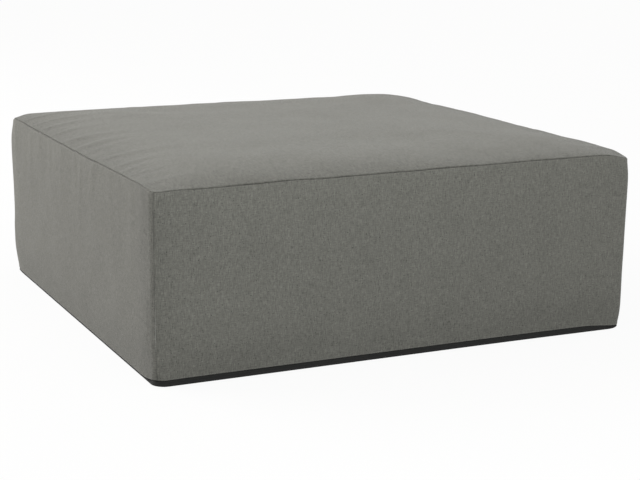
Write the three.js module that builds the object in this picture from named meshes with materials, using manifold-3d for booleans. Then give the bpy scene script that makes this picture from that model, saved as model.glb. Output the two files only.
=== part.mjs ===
// Upholstered outdoor ottoman: a sewn, zipped cover over a lined and wrapped foam block.
// Millimetres, +Z up. The origin is on the floor under the middle of the block.
// The front faces -Y, and the zip runs along the back, which faces +Y.
import * as THREE from 'three';
import { mergeVertices } from 'three/addons/utils/BufferGeometryUtils.js';
import Module from 'manifold-3d';

const wasm = await Module();
wasm.setup();

// Covered block
const SIDE = 1000; // across the upright faces, both ways
const SEAM_HEIGHT = 356; // floor to the seam around the top
const CROWN_RISE = 24; // middle of the top above that seam
const CROWN_REACH = 190; // how far in from the seam the crown keeps rising
const CORNER_RADIUS = 18; // upright corners, in plan
const BASE_RADIUS = 30; // the same corners where they meet the base band
const LEAST_RADIUS = 2; // sharpest corner that a layer inside may have
const SIDE_SWELL = 3; // how far the middle of each side stands out
const SEAM_DRAW = 1.5; // how far the top seam is drawn in between its corners
const SWELL_FOOT = 112; // below this height the sides are flat
const TUCK_HEIGHT = 60; // below this height the sides tuck under
const TUCK_DEPTH = 2; // how far they have tucked in at the base band
const BASE_HEIGHT = 12; // black band around the foot
const BASE_TAPER = 2; // how much further the band stands in at the floor

// Layers, from the outside in
const COVER_SHEET = 2; // covering fabric with its backing
const BASE_SHEET = 2; // non-slip base cloth
const SEWN_GAP = 0.3; // between panels that are sewn edge to edge
const LAYER_GAP = 0.3; // between one layer and the next
const LINER_SHEET = 1; // showerproof inner bag
const WADDING_SIDE = 8; // fibre wrap on the sides
const WADDING_TOP = 12; // fibre wrap on the top
const COMFORT_FOAM = 60; // soft foam, at the seam

// Zip in the back panel
const ZIP_HEIGHT = 85; // floor to the middle of the zip
const ZIP_MARGIN = 55; // corner of the block to the end of the coils
const SLOT_REACH = 7; // panel edge from the middle of the zip
const SLOT_SPARE = 3; // slot past each end stop
const TAPE_WIDTH = 16;
const TAPE_SHEET = 0.8;
const TAPE_TAIL = 10; // tape past each end of the slot
const COIL_WIDTH = 2.4;
const COIL_DEPTH = 1.8;
const ZIP_PARTING = 1.2; // between the two halves, where the slider's web runs
const ZIP_GAP = 0.3; // running clearance between the parts of the zip
const STOP_LENGTH = 4;
const STOP_HEIGHT = 6;
const STOP_STAND = 0.3; // stop proud of the back face

// Slider and pull
const SLIDER_LENGTH = 12;
const SLIDER_WIDTH = 9.2;
const SLIDER_PLATE = 1.2;
const WEB_LENGTH = 9;
const BRIDGE_LENGTH = 9.2;
const BRIDGE_WIDTH = 3;
const BRIDGE_BAR = 1.2;
const PIN_RADIUS = 0.8;
const YOKE_CLEARANCE = 0.5; // bridge to the pull's arms
const YOKE_ARM = 1.4; // arm width and thickness of the pull
const PULL_LENGTH = 30; // pin to the tip of the pull
const PULL_WIDTH = 8;
const PULL_HOLE_RADIUS = 2;
const PULL_NECK_CLEARANCE = 1; // bridge to the root of the pull's plate

// Steps of the curved outlines
const FACE_STEPS = 7;
const ARC_STEPS = 3;
const TUCK_STEPS = 3;
const SWELL_STEPS = 4;
const PIN_STEPS = 16;
const PULL_ARC_STEPS = 8;
const RING_SHARES = [0.93, 0.82, 0.66, 0.4]; // rings of the crowned top, of its half width
const DRAW_SHARPNESS = 4; // power of the climb with which the seam is drawn in
const OVERRUN = 20; // how far a cutting block reaches past what it cuts

const HALF = SIDE / 2;
const ZIP_LENGTH = SIDE - 2 * ZIP_MARGIN; // coils, between the end stops
const SEAM_UNDERSIDE = SEAM_HEIGHT - COVER_SHEET;
const SLOT_END = ZIP_LENGTH / 2 + ZIP_GAP + STOP_LENGTH + SLOT_SPARE; // from the middle of the zip

// Depths of the zip's parts, outwards from the back face
const TAPE_FACE = -COVER_SHEET - LAYER_GAP;
const COIL_FACE = TAPE_FACE + ZIP_GAP + COIL_DEPTH;
const PLATE_UNDERSIDE = COIL_FACE + ZIP_GAP;
const PLATE_FACE = PLATE_UNDERSIDE + SLIDER_PLATE;
const REAR_PLATE_FACE = TAPE_FACE - TAPE_SHEET - ZIP_GAP;
const REAR_PLATE_BACK = REAR_PLATE_FACE - SLIDER_PLATE;
const PIN_CENTRE = PLATE_FACE + ZIP_GAP + PIN_RADIUS;
const BRIDGE_UNDERSIDE = PIN_CENTRE + PIN_RADIUS + ZIP_GAP;

const FABRIC = finish(0x85847f, 0.9, 0);
const BASE_CLOTH = finish(0x2a2a28, 0.8, 0);
const LINER_CLOTH = finish(0xd9dad6, 0.6, 0);
const WADDING_FIBRE = finish(0xf2f1ec, 1, 0);
const COMFORT_CELLS = finish(0xe6e2cf, 1, 0);
const CORE_CELLS = finish(0xc9ccd0, 1, 0);
const ZIP_TAPE = finish(0x232322, 0.85, 0);
const ZIP_NYLON = finish(0x1b1b1b, 0.4, 0);
const ZIP_METAL = finish(0x3a3a3a, 0.35, 0.8);

function finish(color, roughness, metalness) {
  return new THREE.MeshStandardMaterial({ color, roughness, metalness });
}

// Solids, cutting and joining

function solidFrom(geometry) {
  const bare = geometry.clone();
  bare.deleteAttribute('normal');
  bare.deleteAttribute('uv');
  const merged = mergeVertices(bare);
  const vertProperties = Float32Array.from(merged.getAttribute('position').array);
  const triVerts = Uint32Array.from(merged.getIndex().array);
  return new wasm.Manifold(new wasm.Mesh({ numProp: 3, vertProperties, triVerts }));
}

function geometryFrom(solid) {
  const mesh = solid.getMesh();
  const geometry = new THREE.BufferGeometry();
  const positions = Float32Array.from(mesh.vertProperties);
  geometry.setAttribute('position', new THREE.BufferAttribute(positions, 3));
  geometry.setIndex(new THREE.BufferAttribute(Uint32Array.from(mesh.triVerts), 1));
  geometry.computeVertexNormals();
  return geometry;
}

function block({ x, y, z }) {
  const geometry = new THREE.BoxGeometry(x[1] - x[0], y[1] - y[0], z[1] - z[0]);
  geometry.translate((x[0] + x[1]) / 2, (y[0] + y[1]) / 2, (z[0] + z[1]) / 2);
  return solidFrom(geometry);
}

function slab(low, high) {
  const reach = [-HALF - OVERRUN, HALF + OVERRUN];
  return block({ x: reach, y: reach, z: [low, high] });
}

function piece(name, solid, material) {
  const mesh = new THREE.Mesh(geometryFrom(solid), material);
  mesh.name = name;
  return mesh;
}

// Shape of the block

// How far the side stands in from the upright face at a height
function tuckAt(z) {
  if (z >= TUCK_HEIGHT) return 0;
  if (z <= BASE_HEIGHT) return TUCK_DEPTH + BASE_TAPER * (1 - z / BASE_HEIGHT);
  const drop = (TUCK_HEIGHT - z) / (TUCK_HEIGHT - BASE_HEIGHT);
  return TUCK_DEPTH * drop ** 2;
}

// How far the side stands out at a height and at a share of the way along the face
function swellAt(z, along) {
  if (z <= SWELL_FOOT) return 0;
  const climb = (z - SWELL_FOOT) / (SEAM_HEIGHT - SWELL_FOOT);
  const bow = 4 * along * (1 - along);
  return bow * (SIDE_SWELL * Math.sin(Math.PI * climb) - SEAM_DRAW * climb ** DRAW_SHARPNESS);
}

// Rise of the crown at a distance in from the seam
function crownRamp(fromEdge) {
  const left = Math.max(0, 1 - fromEdge / CROWN_REACH);
  return 1 - left ** 2;
}

function crownAt(x, y, half) {
  const [inX, inY] = [x, y].map((place) => Math.max(0, half - Math.abs(place)));
  return CROWN_RISE * crownRamp(inX) * crownRamp(inY);
}

// Corner radius at a height, which opens out as the sides tuck under
function radiusAt(z) {
  const tucked = Math.min(1, tuckAt(z) / TUCK_DEPTH);
  return CORNER_RADIUS + (BASE_RADIUS - CORNER_RADIUS) * tucked;
}

// Rounded square at a height, drawn in by inset, front face first and anticlockwise from above
function outlineAt(z, inset) {
  const half = HALF - tuckAt(z) - inset;
  const radius = Math.max(radiusAt(z) - inset, LEAST_RADIUS);
  const flat = half - radius;
  const points = [];
  for (let side = 0; side < 4; side += 1) {
    const turn = (side * Math.PI) / 2;
    for (let step = 0; step < FACE_STEPS; step += 1) {
      const along = step / FACE_STEPS;
      const point = new THREE.Vector2((2 * along - 1) * flat, -half - swellAt(z, along));
      points.push(point.rotateAround(new THREE.Vector2(), turn));
    }
    for (let step = 0; step < ARC_STEPS; step += 1) {
      const angle = ((step / ARC_STEPS - 1) * Math.PI) / 2;
      const point = new THREE.Vector2(flat + radius * Math.cos(angle), -flat + radius * Math.sin(angle));
      points.push(point.rotateAround(new THREE.Vector2(), turn));
    }
  }
  return points;
}

// Heights of the outline's rows from a floor up to a seam
function rowHeights(floor, seam) {
  const rows = [];
  for (let step = 0; step <= TUCK_STEPS; step += 1) {
    rows.push(BASE_HEIGHT + ((TUCK_HEIGHT - BASE_HEIGHT) * step) / TUCK_STEPS);
  }
  for (let step = 0; step < SWELL_STEPS; step += 1) {
    rows.push(SWELL_FOOT + ((SEAM_HEIGHT - SWELL_FOOT) * step) / SWELL_STEPS);
  }
  return [floor, ...rows.filter((z) => z > floor && z < seam), seam];
}

// Closed block drawn in by inset at the sides and by drop at the top, with a flat floor
function blockForm({ inset, drop, floor }) {
  const seam = SEAM_HEIGHT - drop;
  const positions = [];
  const rings = [];
  const addRing = (points, heightOf) => {
    rings.push(positions.length / 3);
    points.forEach((point) => positions.push(point.x, point.y, heightOf(point)));
  };
  rowHeights(floor, seam).forEach((z) => addRing(outlineAt(z, inset), () => z));
  const rim = outlineAt(seam, inset);
  RING_SHARES.forEach((share) => {
    const ring = rim.map((point) => point.clone().multiplyScalar(share));
    addRing(ring, (point) => seam + crownAt(point.x, point.y, HALF - inset));
  });
  const under = positions.length / 3;
  positions.push(0, 0, floor);
  const peak = under + 1;
  positions.push(0, 0, seam + crownAt(0, 0, HALF - inset));
  return solidFrom(closedSkin(positions, rings, rim.length, under, peak));
}

function closedSkin(positions, rings, count, under, peak) {
  const index = [];
  const last = rings[rings.length - 1];
  for (let step = 0; step < count; step += 1) {
    const next = (step + 1) % count;
    for (let row = 0; row + 1 < rings.length; row += 1) {
      const [low, high] = [rings[row], rings[row + 1]];
      index.push(low + step, low + next, high + next, low + step, high + next, high + step);
    }
    index.push(under, rings[0] + next, rings[0] + step);
    index.push(peak, last + step, last + next);
  }
  const geometry = new THREE.BufferGeometry();
  geometry.setAttribute('position', new THREE.Float32BufferAttribute(positions, 3));
  geometry.setIndex(index);
  return geometry;
}

// Sewn cover

// Upright wedge that holds one side of the block, up to half a gap from its corner seams
function sideWedge(side) {
  const reach = SIDE;
  const back = (SEWN_GAP / 2) * Math.SQRT2;
  const outline = new THREE.Shape([
    new THREE.Vector2(0, -back),
    new THREE.Vector2(-reach, -back - reach),
    new THREE.Vector2(reach, -back - reach),
  ]);
  const geometry = new THREE.ExtrudeGeometry(outline, { depth: SEAM_HEIGHT, bevelEnabled: false });
  geometry.rotateZ((side * Math.PI) / 2);
  return solidFrom(geometry);
}

function slotBlock() {
  return block({
    x: [-SLOT_END, SLOT_END],
    y: [HALF - CORNER_RADIUS, HALF + OVERRUN],
    z: [ZIP_HEIGHT - SLOT_REACH, ZIP_HEIGHT + SLOT_REACH],
  });
}

function coverPieces() {
  const outside = blockForm({ inset: 0, drop: 0, floor: 0 });
  const inside = blockForm({ inset: COVER_SHEET, drop: COVER_SHEET, floor: BASE_SHEET });
  const shell = outside.subtract(inside);
  const walls = shell.intersect(slab(BASE_HEIGHT + SEWN_GAP, SEAM_UNDERSIDE - SEWN_GAP));
  const [front, right, back, left] = [0, 1, 2, 3].map((side) => walls.intersect(sideWedge(side)));
  const slotted = back.subtract(slotBlock());
  const top = shell.intersect(slab(SEAM_UNDERSIDE, SEAM_HEIGHT + CROWN_RISE + OVERRUN));
  const upper = slotted.intersect(slab(ZIP_HEIGHT + SEWN_GAP / 2, SEAM_HEIGHT));
  const lower = slotted.intersect(slab(0, ZIP_HEIGHT - SEWN_GAP / 2));
  return [
    piece('top_panel', top, FABRIC),
    piece('front_panel', front, FABRIC),
    piece('right_panel', right, FABRIC),
    piece('left_panel', left, FABRIC),
    piece('back_panel_upper', upper, FABRIC),
    piece('back_panel_lower', lower, FABRIC),
    piece('base_border', shell.intersect(slab(BASE_SHEET + SEWN_GAP, BASE_HEIGHT)), BASE_CLOTH),
    piece('base_panel', outside.intersect(slab(-OVERRUN, BASE_SHEET)), BASE_CLOTH),
  ];
}

// Lined and wrapped foam

// Room behind the zip for its tapes and for the slider's rear plate, grown for the layers inside
function zipPocket(grow) {
  const along = SLOT_END + TAPE_TAIL + LAYER_GAP + grow;
  const upright = ZIP_PARTING / 2 + TAPE_WIDTH + LAYER_GAP + grow;
  return block({
    x: [-along, along],
    y: [HALF + REAR_PLATE_BACK - LAYER_GAP - grow, HALF + OVERRUN],
    z: [ZIP_HEIGHT - upright, ZIP_HEIGHT + upright],
  });
}

function fillingPieces() {
  const linerIn = COVER_SHEET + LAYER_GAP;
  const linerFloor = BASE_SHEET + LAYER_GAP;
  const wrapIn = linerIn + LINER_SHEET + LAYER_GAP;
  const floor = linerFloor + LINER_SHEET + LAYER_GAP;
  const foamIn = wrapIn + WADDING_SIDE + LAYER_GAP;
  const foamDrop = wrapIn + WADDING_TOP + LAYER_GAP;
  const open = -OVERRUN;

  const linerOut = blockForm({ inset: linerIn, drop: linerIn, floor: linerFloor });
  const linerInner = linerIn + LINER_SHEET;
  const linerCavity = blockForm({ inset: linerInner, drop: linerInner, floor: open });
  const linerRoom = linerCavity.subtract(zipPocket(LINER_SHEET));
  const linerWall = linerOut.subtract(zipPocket(0)).subtract(linerRoom);
  const wrapOut = blockForm({ inset: wrapIn, drop: wrapIn, floor });
  const wrapRoom = blockForm({ inset: wrapIn + WADDING_SIDE, drop: wrapIn + WADDING_TOP, floor: open });
  const wrap = wrapOut.subtract(zipPocket(LINER_SHEET + LAYER_GAP)).subtract(wrapRoom);

  const foam = blockForm({ inset: foamIn, drop: foamDrop, floor });
  const comfortFloor = SEAM_HEIGHT - foamDrop - COMFORT_FOAM;
  const coreTop = comfortFloor - LAYER_GAP;
  const coreSplit = (floor + coreTop) / 2;
  const above = SEAM_HEIGHT + CROWN_RISE + OVERRUN;
  return [
    piece('liner_shell', linerWall.intersect(slab(floor, above)), LINER_CLOTH),
    piece('liner_base', linerOut.intersect(slab(open, linerFloor + LINER_SHEET)), LINER_CLOTH),
    piece('wadding_wrap', wrap, WADDING_FIBRE),
    piece('comfort_foam', foam.intersect(slab(comfortFloor, above)), COMFORT_CELLS),
    piece('core_foam_upper', foam.intersect(slab(coreSplit + LAYER_GAP / 2, coreTop)), CORE_CELLS),
    piece('core_foam_lower', foam.intersect(slab(open, coreSplit - LAYER_GAP / 2)), CORE_CELLS),
  ];
}

// Zip, in its own frame: X along it, +Y out of the back face, Z up from its middle line

function between(low, high, sign) {
  return sign > 0 ? [low, high] : [-high, -low];
}

function tape(name, sign) {
  const reach = SLOT_END + TAPE_TAIL;
  const inner = ZIP_PARTING / 2;
  const solid = block({
    x: [-reach, reach],
    y: [TAPE_FACE - TAPE_SHEET, TAPE_FACE],
    z: between(inner, inner + TAPE_WIDTH, sign),
  });
  return piece(name, solid, ZIP_TAPE);
}

function coil(name, sign) {
  const inner = ZIP_PARTING / 2;
  const solid = block({
    x: [-ZIP_LENGTH / 2, ZIP_LENGTH / 2],
    y: [TAPE_FACE + ZIP_GAP, COIL_FACE],
    z: between(inner, inner + COIL_WIDTH, sign),
  });
  return piece(name, solid, ZIP_NYLON);
}

function endStop(name, sign) {
  const near = ZIP_LENGTH / 2 + ZIP_GAP;
  const solid = block({
    x: between(near, near + STOP_LENGTH, sign),
    y: [TAPE_FACE + ZIP_GAP, STOP_STAND],
    z: [-STOP_HEIGHT / 2, STOP_HEIGHT / 2],
  });
  return piece(name, solid, ZIP_METAL);
}

function sliderBody() {
  const length = [-SLIDER_LENGTH / 2, SLIDER_LENGTH / 2];
  const width = [-SLIDER_WIDTH / 2, SLIDER_WIDTH / 2];
  const midPlate = PLATE_FACE - SLIDER_PLATE / 2;
  const web = ZIP_PARTING / 2 - ZIP_GAP;
  const flange = ZIP_PARTING / 2 + COIL_WIDTH + ZIP_GAP;
  const frontPlate = block({ x: length, y: [PLATE_UNDERSIDE, PLATE_FACE], z: width });
  const rearPlate = block({ x: length, y: [REAR_PLATE_BACK, REAR_PLATE_FACE], z: width });
  const webBlock = block({
    x: [-WEB_LENGTH / 2, WEB_LENGTH / 2],
    y: [REAR_PLATE_BACK + SLIDER_PLATE / 2, midPlate],
    z: [-web, web],
  });
  const flanges = [1, -1].map((sign) => block({
    x: length,
    y: [TAPE_FACE + ZIP_GAP, midPlate],
    z: between(flange, SLIDER_WIDTH / 2, sign),
  }));
  const parts = [rearPlate, webBlock, ...flanges, bridge()];
  return parts.reduce((body, part) => body.add(part), frontPlate);
}

function bridge() {
  const reach = BRIDGE_LENGTH / 2;
  const width = [-BRIDGE_WIDTH / 2, BRIDGE_WIDTH / 2];
  const top = BRIDGE_UNDERSIDE + BRIDGE_BAR;
  const arch = block({ x: [-reach, reach], y: [PLATE_FACE - SLIDER_PLATE / 2, top], z: width });
  const window = block({
    x: [-reach + BRIDGE_BAR, reach - BRIDGE_BAR],
    y: [PLATE_FACE, BRIDGE_UNDERSIDE],
    z: [-BRIDGE_WIDTH, BRIDGE_WIDTH],
  });
  return arch.subtract(window);
}

// Pull about its pin: X along the zip, the plate towards -X
function pullBody() {
  const armInner = BRIDGE_WIDTH / 2 + YOKE_CLEARANCE;
  const neck = BRIDGE_LENGTH / 2 + PULL_NECK_CLEARANCE;
  const thick = [-YOKE_ARM / 2, YOKE_ARM / 2];
  const pin = new THREE.CylinderGeometry(PIN_RADIUS, PIN_RADIUS, 2 * armInner + YOKE_ARM, PIN_STEPS);
  pin.rotateX(Math.PI / 2);
  const arms = [1, -1].map((sign) => block({
    x: [-neck - YOKE_ARM, 0],
    y: thick,
    z: between(armInner, armInner + YOKE_ARM, sign),
  }));
  return arms.reduce((body, arm) => body.add(arm), solidFrom(pin)).add(pullPlate(neck));
}

function pullPlate(neck) {
  const half = PULL_WIDTH / 2;
  const tip = PULL_LENGTH - half;
  const outline = new THREE.Shape();
  outline.moveTo(neck, -half);
  outline.lineTo(tip, -half);
  outline.absarc(tip, 0, half, -Math.PI / 2, Math.PI / 2);
  outline.lineTo(neck, half);
  outline.closePath();
  const hole = new THREE.Path();
  hole.absarc(tip, 0, PULL_HOLE_RADIUS, 0, 2 * Math.PI, true);
  outline.holes.push(hole);
  const settings = { depth: YOKE_ARM, bevelEnabled: false, curveSegments: PULL_ARC_STEPS };
  const geometry = new THREE.ExtrudeGeometry(outline, settings);
  geometry.translate(0, 0, -YOKE_ARM / 2);
  geometry.rotateX(Math.PI / 2);
  geometry.rotateY(Math.PI);
  return solidFrom(geometry);
}

function zipGroup() {
  const zip = new THREE.Group();
  zip.position.set(0, HALF, ZIP_HEIGHT);
  zip.add(tape('zip_tape_upper', 1), tape('zip_tape_lower', -1));
  zip.add(coil('zip_coil_upper', 1), coil('zip_coil_lower', -1));
  zip.add(endStop('zip_stop_right', 1), endStop('zip_stop_left', -1));
  const slider = new THREE.Group();
  slider.position.x = (ZIP_LENGTH - SLIDER_LENGTH) / 2; // closed, beside the right-hand stop
  slider.add(piece('zip_slider', sliderBody(), ZIP_METAL));
  const pull = piece('zip_pull', pullBody(), ZIP_METAL);
  pull.position.y = PIN_CENTRE;
  slider.add(pull);
  zip.add(slider);
  return zip;
}

const ottoman = new THREE.Group();
ottoman.add(...coverPieces(), ...fillingPieces(), zipGroup());

export default ottoman;
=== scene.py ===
"""Looks of a square outdoor ottoman: a sewn, zipped cover over a lined foam block, on a black base.

Metres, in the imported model's own frame: +Z up, the front faces -Y and the zip runs along the back.
"""

import logging
import math
from dataclasses import dataclass
from enum import Enum
from typing import Callable, Sequence

import bpy
import numpy as np
from mathutils import Matrix, Vector

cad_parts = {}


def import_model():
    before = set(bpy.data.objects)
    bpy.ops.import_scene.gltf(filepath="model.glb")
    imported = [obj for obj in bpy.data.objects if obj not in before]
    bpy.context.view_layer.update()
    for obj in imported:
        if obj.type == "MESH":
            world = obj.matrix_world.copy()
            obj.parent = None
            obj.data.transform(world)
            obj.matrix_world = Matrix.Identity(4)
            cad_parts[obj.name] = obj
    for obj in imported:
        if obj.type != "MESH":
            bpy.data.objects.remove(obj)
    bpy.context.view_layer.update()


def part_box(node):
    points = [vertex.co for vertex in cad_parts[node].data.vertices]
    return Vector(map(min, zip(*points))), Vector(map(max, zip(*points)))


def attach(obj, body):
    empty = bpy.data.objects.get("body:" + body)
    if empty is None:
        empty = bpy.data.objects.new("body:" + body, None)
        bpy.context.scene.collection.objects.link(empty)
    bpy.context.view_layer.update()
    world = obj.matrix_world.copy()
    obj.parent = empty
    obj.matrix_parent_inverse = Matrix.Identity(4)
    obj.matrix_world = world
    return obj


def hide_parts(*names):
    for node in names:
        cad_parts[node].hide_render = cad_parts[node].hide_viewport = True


log = logging.getLogger("ottoman")

Array = np.ndarray
Inputs = dict[int | str, "Socket | float | tuple"]
Piece = bpy.types.Object
Place = Sequence[float]
Three = tuple[float, float, float]
Four = tuple[float, float, float, float]

BODY = "ottoman"
CLOTH_MAP = "cloth"
# Name of the point attribute that holds painted shade in the cover's seam folds, near its seams and at its
# foot, and painted highlight under the top seam as negative values.
PAINTED_SHADE_AND_LIGHT = "fold"


# Shader building


def reckoned(operation: str, last: bool = False) -> Callable[..., "Socket"]:
    """Makes a method of Socket that adds one Math node.

    Args:
        operation: The node's operation.
        last: Whether the socket is the last of the values, as in 1 - mask.

    Returns:
        The method.
    """

    def method(self: "Socket", *others: "Socket | float") -> "Socket":
        """Adds the Math node."""
        values = (*others, self) if last else (self, *others)
        return self.sheet.add("ShaderNodeMath", {"operation": operation}, dict(enumerate(values)))

    return method


class Socket:
    """A shader output that takes part in plain arithmetic."""

    def __init__(self, sheet: "NodeSheet", output: bpy.types.NodeSocket) -> None:
        """Wraps one output of a node on a sheet."""
        self.sheet = sheet
        self.output = output

    __add__, __radd__ = reckoned("ADD"), reckoned("ADD", True)
    __sub__, __rsub__ = reckoned("SUBTRACT"), reckoned("SUBTRACT", True)
    __mul__, __rmul__ = reckoned("MULTIPLY"), reckoned("MULTIPLY", True)
    __truediv__, __pow__, __gt__ = reckoned("DIVIDE"), reckoned("POWER"), reckoned("GREATER_THAN")
    floor, fraction, sine = reckoned("FLOOR"), reckoned("FRACT"), reckoned("SINE")
    least, most = reckoned("MINIMUM"), reckoned("MAXIMUM")

    def held(self) -> "Socket":
        """Keeps between 0 and 1."""
        return self.most(0.0).least(1.0)


class NodeSheet:
    """The nodes of one material or world."""

    def __init__(self, tree: bpy.types.NodeTree) -> None:
        """Starts from an empty tree."""
        self.tree = tree
        tree.nodes.clear()

    def place(self, kind: str, settings: dict, inputs: Inputs) -> bpy.types.Node:
        """Adds one node.

        Args:
            kind: The node's type.
            settings: Properties of the node, set first.
            inputs: Values or sockets by the input's name or number.

        Returns:
            The node.
        """
        node = self.tree.nodes.new(kind)
        for name, value in settings.items():
            setattr(node, name, value)
        for key, value in inputs.items():
            if isinstance(value, Socket):
                self.tree.links.new(value.output, node.inputs[key])
            else:
                node.inputs[key].default_value = value
        return node

    def add(self, kind: str, settings: dict, inputs: Inputs, output: int | str = 0) -> Socket:
        """Adds one node as place does, and returns the output of that name or number."""
        return Socket(self, self.place(kind, settings, inputs).outputs[output])

    def noise(self, vector: Socket, scale: float, detail: float = 2.0, roughness: float = 0.5) -> Socket:
        """Adds smooth noise that runs from 0 to 1 about 0.5."""
        values = {"Vector": vector, "Scale": scale, "Detail": detail, "Roughness": roughness}
        return self.add("ShaderNodeTexNoise", {"noise_dimensions": "3D"}, values)

    def cells(self, vector: Socket, scale: float) -> Socket:
        """Adds a cell pattern, as the distance from the nearest cell's middle."""
        return self.add("ShaderNodeTexVoronoi", {}, {"Vector": vector, "Scale": scale}, "Distance")

    def mix(self, share: Socket | float, first: Socket | tuple, second: Socket | tuple) -> Socket:
        """Mixes two colours by a share."""
        return self.add("ShaderNodeMix", {"data_type": "RGBA"}, {0: share, 6: first, 7: second}, 2)

    def split(self, vector: Socket) -> Sequence[Socket]:
        """Splits a vector in its three parts."""
        outputs = self.place("ShaderNodeSeparateXYZ", {}, {0: vector}).outputs
        return [Socket(self, output) for output in outputs]

    def join(self, x: Socket | float, y: Socket | float, z: Socket | float) -> Socket:
        """Joins three values in a vector."""
        return self.add("ShaderNodeCombineXYZ", {}, {0: x, 1: y, 2: z})

    def bump(self, height: Socket, depth: float) -> Socket:
        """Turns a height from 0 to 1 into a normal, for a relief of that depth in metres."""
        return self.add("ShaderNodeBump", {}, {"Strength": 1.0, "Height": height, "Distance": depth})

    def solid_place(self) -> Socket:
        """Gives the place in the piece's own space."""
        return self.add("ShaderNodeTexCoord", {}, {}, "Object")

    def cloth_place(self) -> Sequence[Socket]:
        """Gives the place across and along the flat cloth."""
        return self.split(self.add("ShaderNodeUVMap", {"uv_map": CLOTH_MAP}, {}))[:2]

    def rays(self, *kinds: str) -> Socket:
        """Gives 1 for light rays of these kinds and 0 for the rest."""
        outputs = self.place("ShaderNodeLightPath", {}, {}).outputs
        first, *others = (Socket(self, outputs[f"Is {kind} Ray"]) for kind in kinds)
        for other in others:
            first = first.most(other)
        return first


def grey(level: float, warmth: float = 0.0) -> Four:
    """Gives a linear colour from an sRGB level from 0 to 255 and a small warm shift of its blue."""
    levels = (level, level - warmth * 0.12, level - warmth)
    return (*(((c / 255 + 0.055) / 1.055) ** 2.4 for c in levels), 1.0)


@dataclass(frozen=True)
class Finish:
    """What every finish shares: a name and a way to become a material."""

    name: str

    def material(self) -> bpy.types.Material:
        """Makes the material, or returns it if it is there already."""
        known = bpy.data.materials.get(self.name)
        if known is not None:
            return known
        made = bpy.data.materials.new(self.name)
        made.use_nodes = True
        sheet = NodeSheet(made.node_tree)
        surface = sheet.add("ShaderNodeBsdfPrincipled", {}, self.shade(sheet))
        sheet.place("ShaderNodeOutputMaterial", {}, {"Surface": surface})
        return made

    def shade(self, sheet: NodeSheet) -> Inputs:
        """Gives the surface shader's inputs."""
        raise NotImplementedError


@dataclass(frozen=True)
class WovenFabric(Finish):
    """Plain-woven heather cloth whose yarns differ in tone along and across the piece."""

    warp_pitch: float
    weft_pitch: float
    dark: tuple
    light: tuple
    warp_contrast: float
    weft_contrast: float
    slub_length: float
    relief: float
    roughness: float
    sheen: float
    speck: float = 0.0
    mottle: float = 0.0

    def shade(self, sheet: NodeSheet) -> Inputs:
        """Gives the surface shader's inputs."""
        across, along = sheet.cloth_place()
        warp = across / self.warp_pitch
        weft = along / self.weft_pitch
        warp_number, weft_number = warp.floor(), weft.floor()
        warp_round = (warp.fraction() * math.pi).sine()
        weft_round = (weft.fraction() * math.pi).sine()
        weft_over = ((warp_number + weft_number) * 0.5).fraction() * 2.0
        warp_over = 1.0 - weft_over
        warp_height = warp_round * (weft_round * 0.4 + 0.6)
        weft_height = weft_round * (warp_round * 0.4 + 0.6)
        height = warp_height * warp_over + weft_height * weft_over
        tone = self.yarn_tone(sheet, warp_number, along) * warp_over * self.warp_contrast
        tone = tone + self.yarn_tone(sheet, weft_number, across) * weft_over * self.weft_contrast
        tone = tone + self.blemishes(sheet, across, along)
        # The low places of the weave are painted darker and the yarns' crests lighter, as painted shade and
        # highlight.
        tone = tone + 0.5 + (height - 0.6) * 0.16
        # The attribute's painted shade darkens the cloth's colour here, and its negative values paint a
        # highlight.
        fold = sheet.add("ShaderNodeAttribute", {"attribute_name": PAINTED_SHADE_AND_LIGHT}, {}, "Fac")
        colour = sheet.mix((tone - fold * 0.5).held(), self.dark, self.light)
        fibres = sheet.noise(sheet.join(across, along, 0.0), 2600.0, 3.0, 0.7)
        return {
            "Base Color": colour,
            "Roughness": (fibres * 0.14 + (self.roughness - 0.07)).least(1.0),
            "Specular IOR Level": 0.25,
            "Sheen Weight": self.sheen,
            "Sheen Roughness": 0.4,
            "Normal": sheet.bump(height + fibres * 0.35, self.relief),
        }

    def yarn_tone(self, sheet: NodeSheet, number: Socket, along: Socket) -> Socket:
        """Gives each yarn its own tone, which drifts along it, from -0.5 to 0.5."""
        place = sheet.join(number * 7.31, along / self.slub_length, number * 3.17)
        return (sheet.noise(place, 1.0, 1.0, 0.6) - 0.5) * 1.6

    def blemishes(self, sheet: NodeSheet, across: Socket, along: Socket) -> Socket:
        """Adds streaks, dark slubs, pale flecks and a soft mottle."""
        streak = sheet.noise(sheet.join(across / 0.0019, along / 0.0118, 4.0), 1.0, 2.0, 0.6) - 0.5
        cross = sheet.noise(sheet.join(across / 0.0080, along / 0.0018, 6.0), 1.0, 0.0) - 0.5
        slub = (sheet.noise(sheet.join(across / 0.0021, along / 0.0032, 8.0), 1.0, 0.0) - 0.69).most(0.0)
        fleck = (sheet.noise(sheet.join(across / 0.0019, along / 0.0026, 12.0), 1.0, 0.0) - 0.70).most(0.0)
        cloud = sheet.noise(sheet.join(across / 0.055, along / 0.09, 9.0), 1.0, 2.0) - 0.5
        return (streak * 1.15 + cross * 0.55 - slub * 6.0 + fleck * 5.0) * self.speck + cloud * self.mottle


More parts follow.
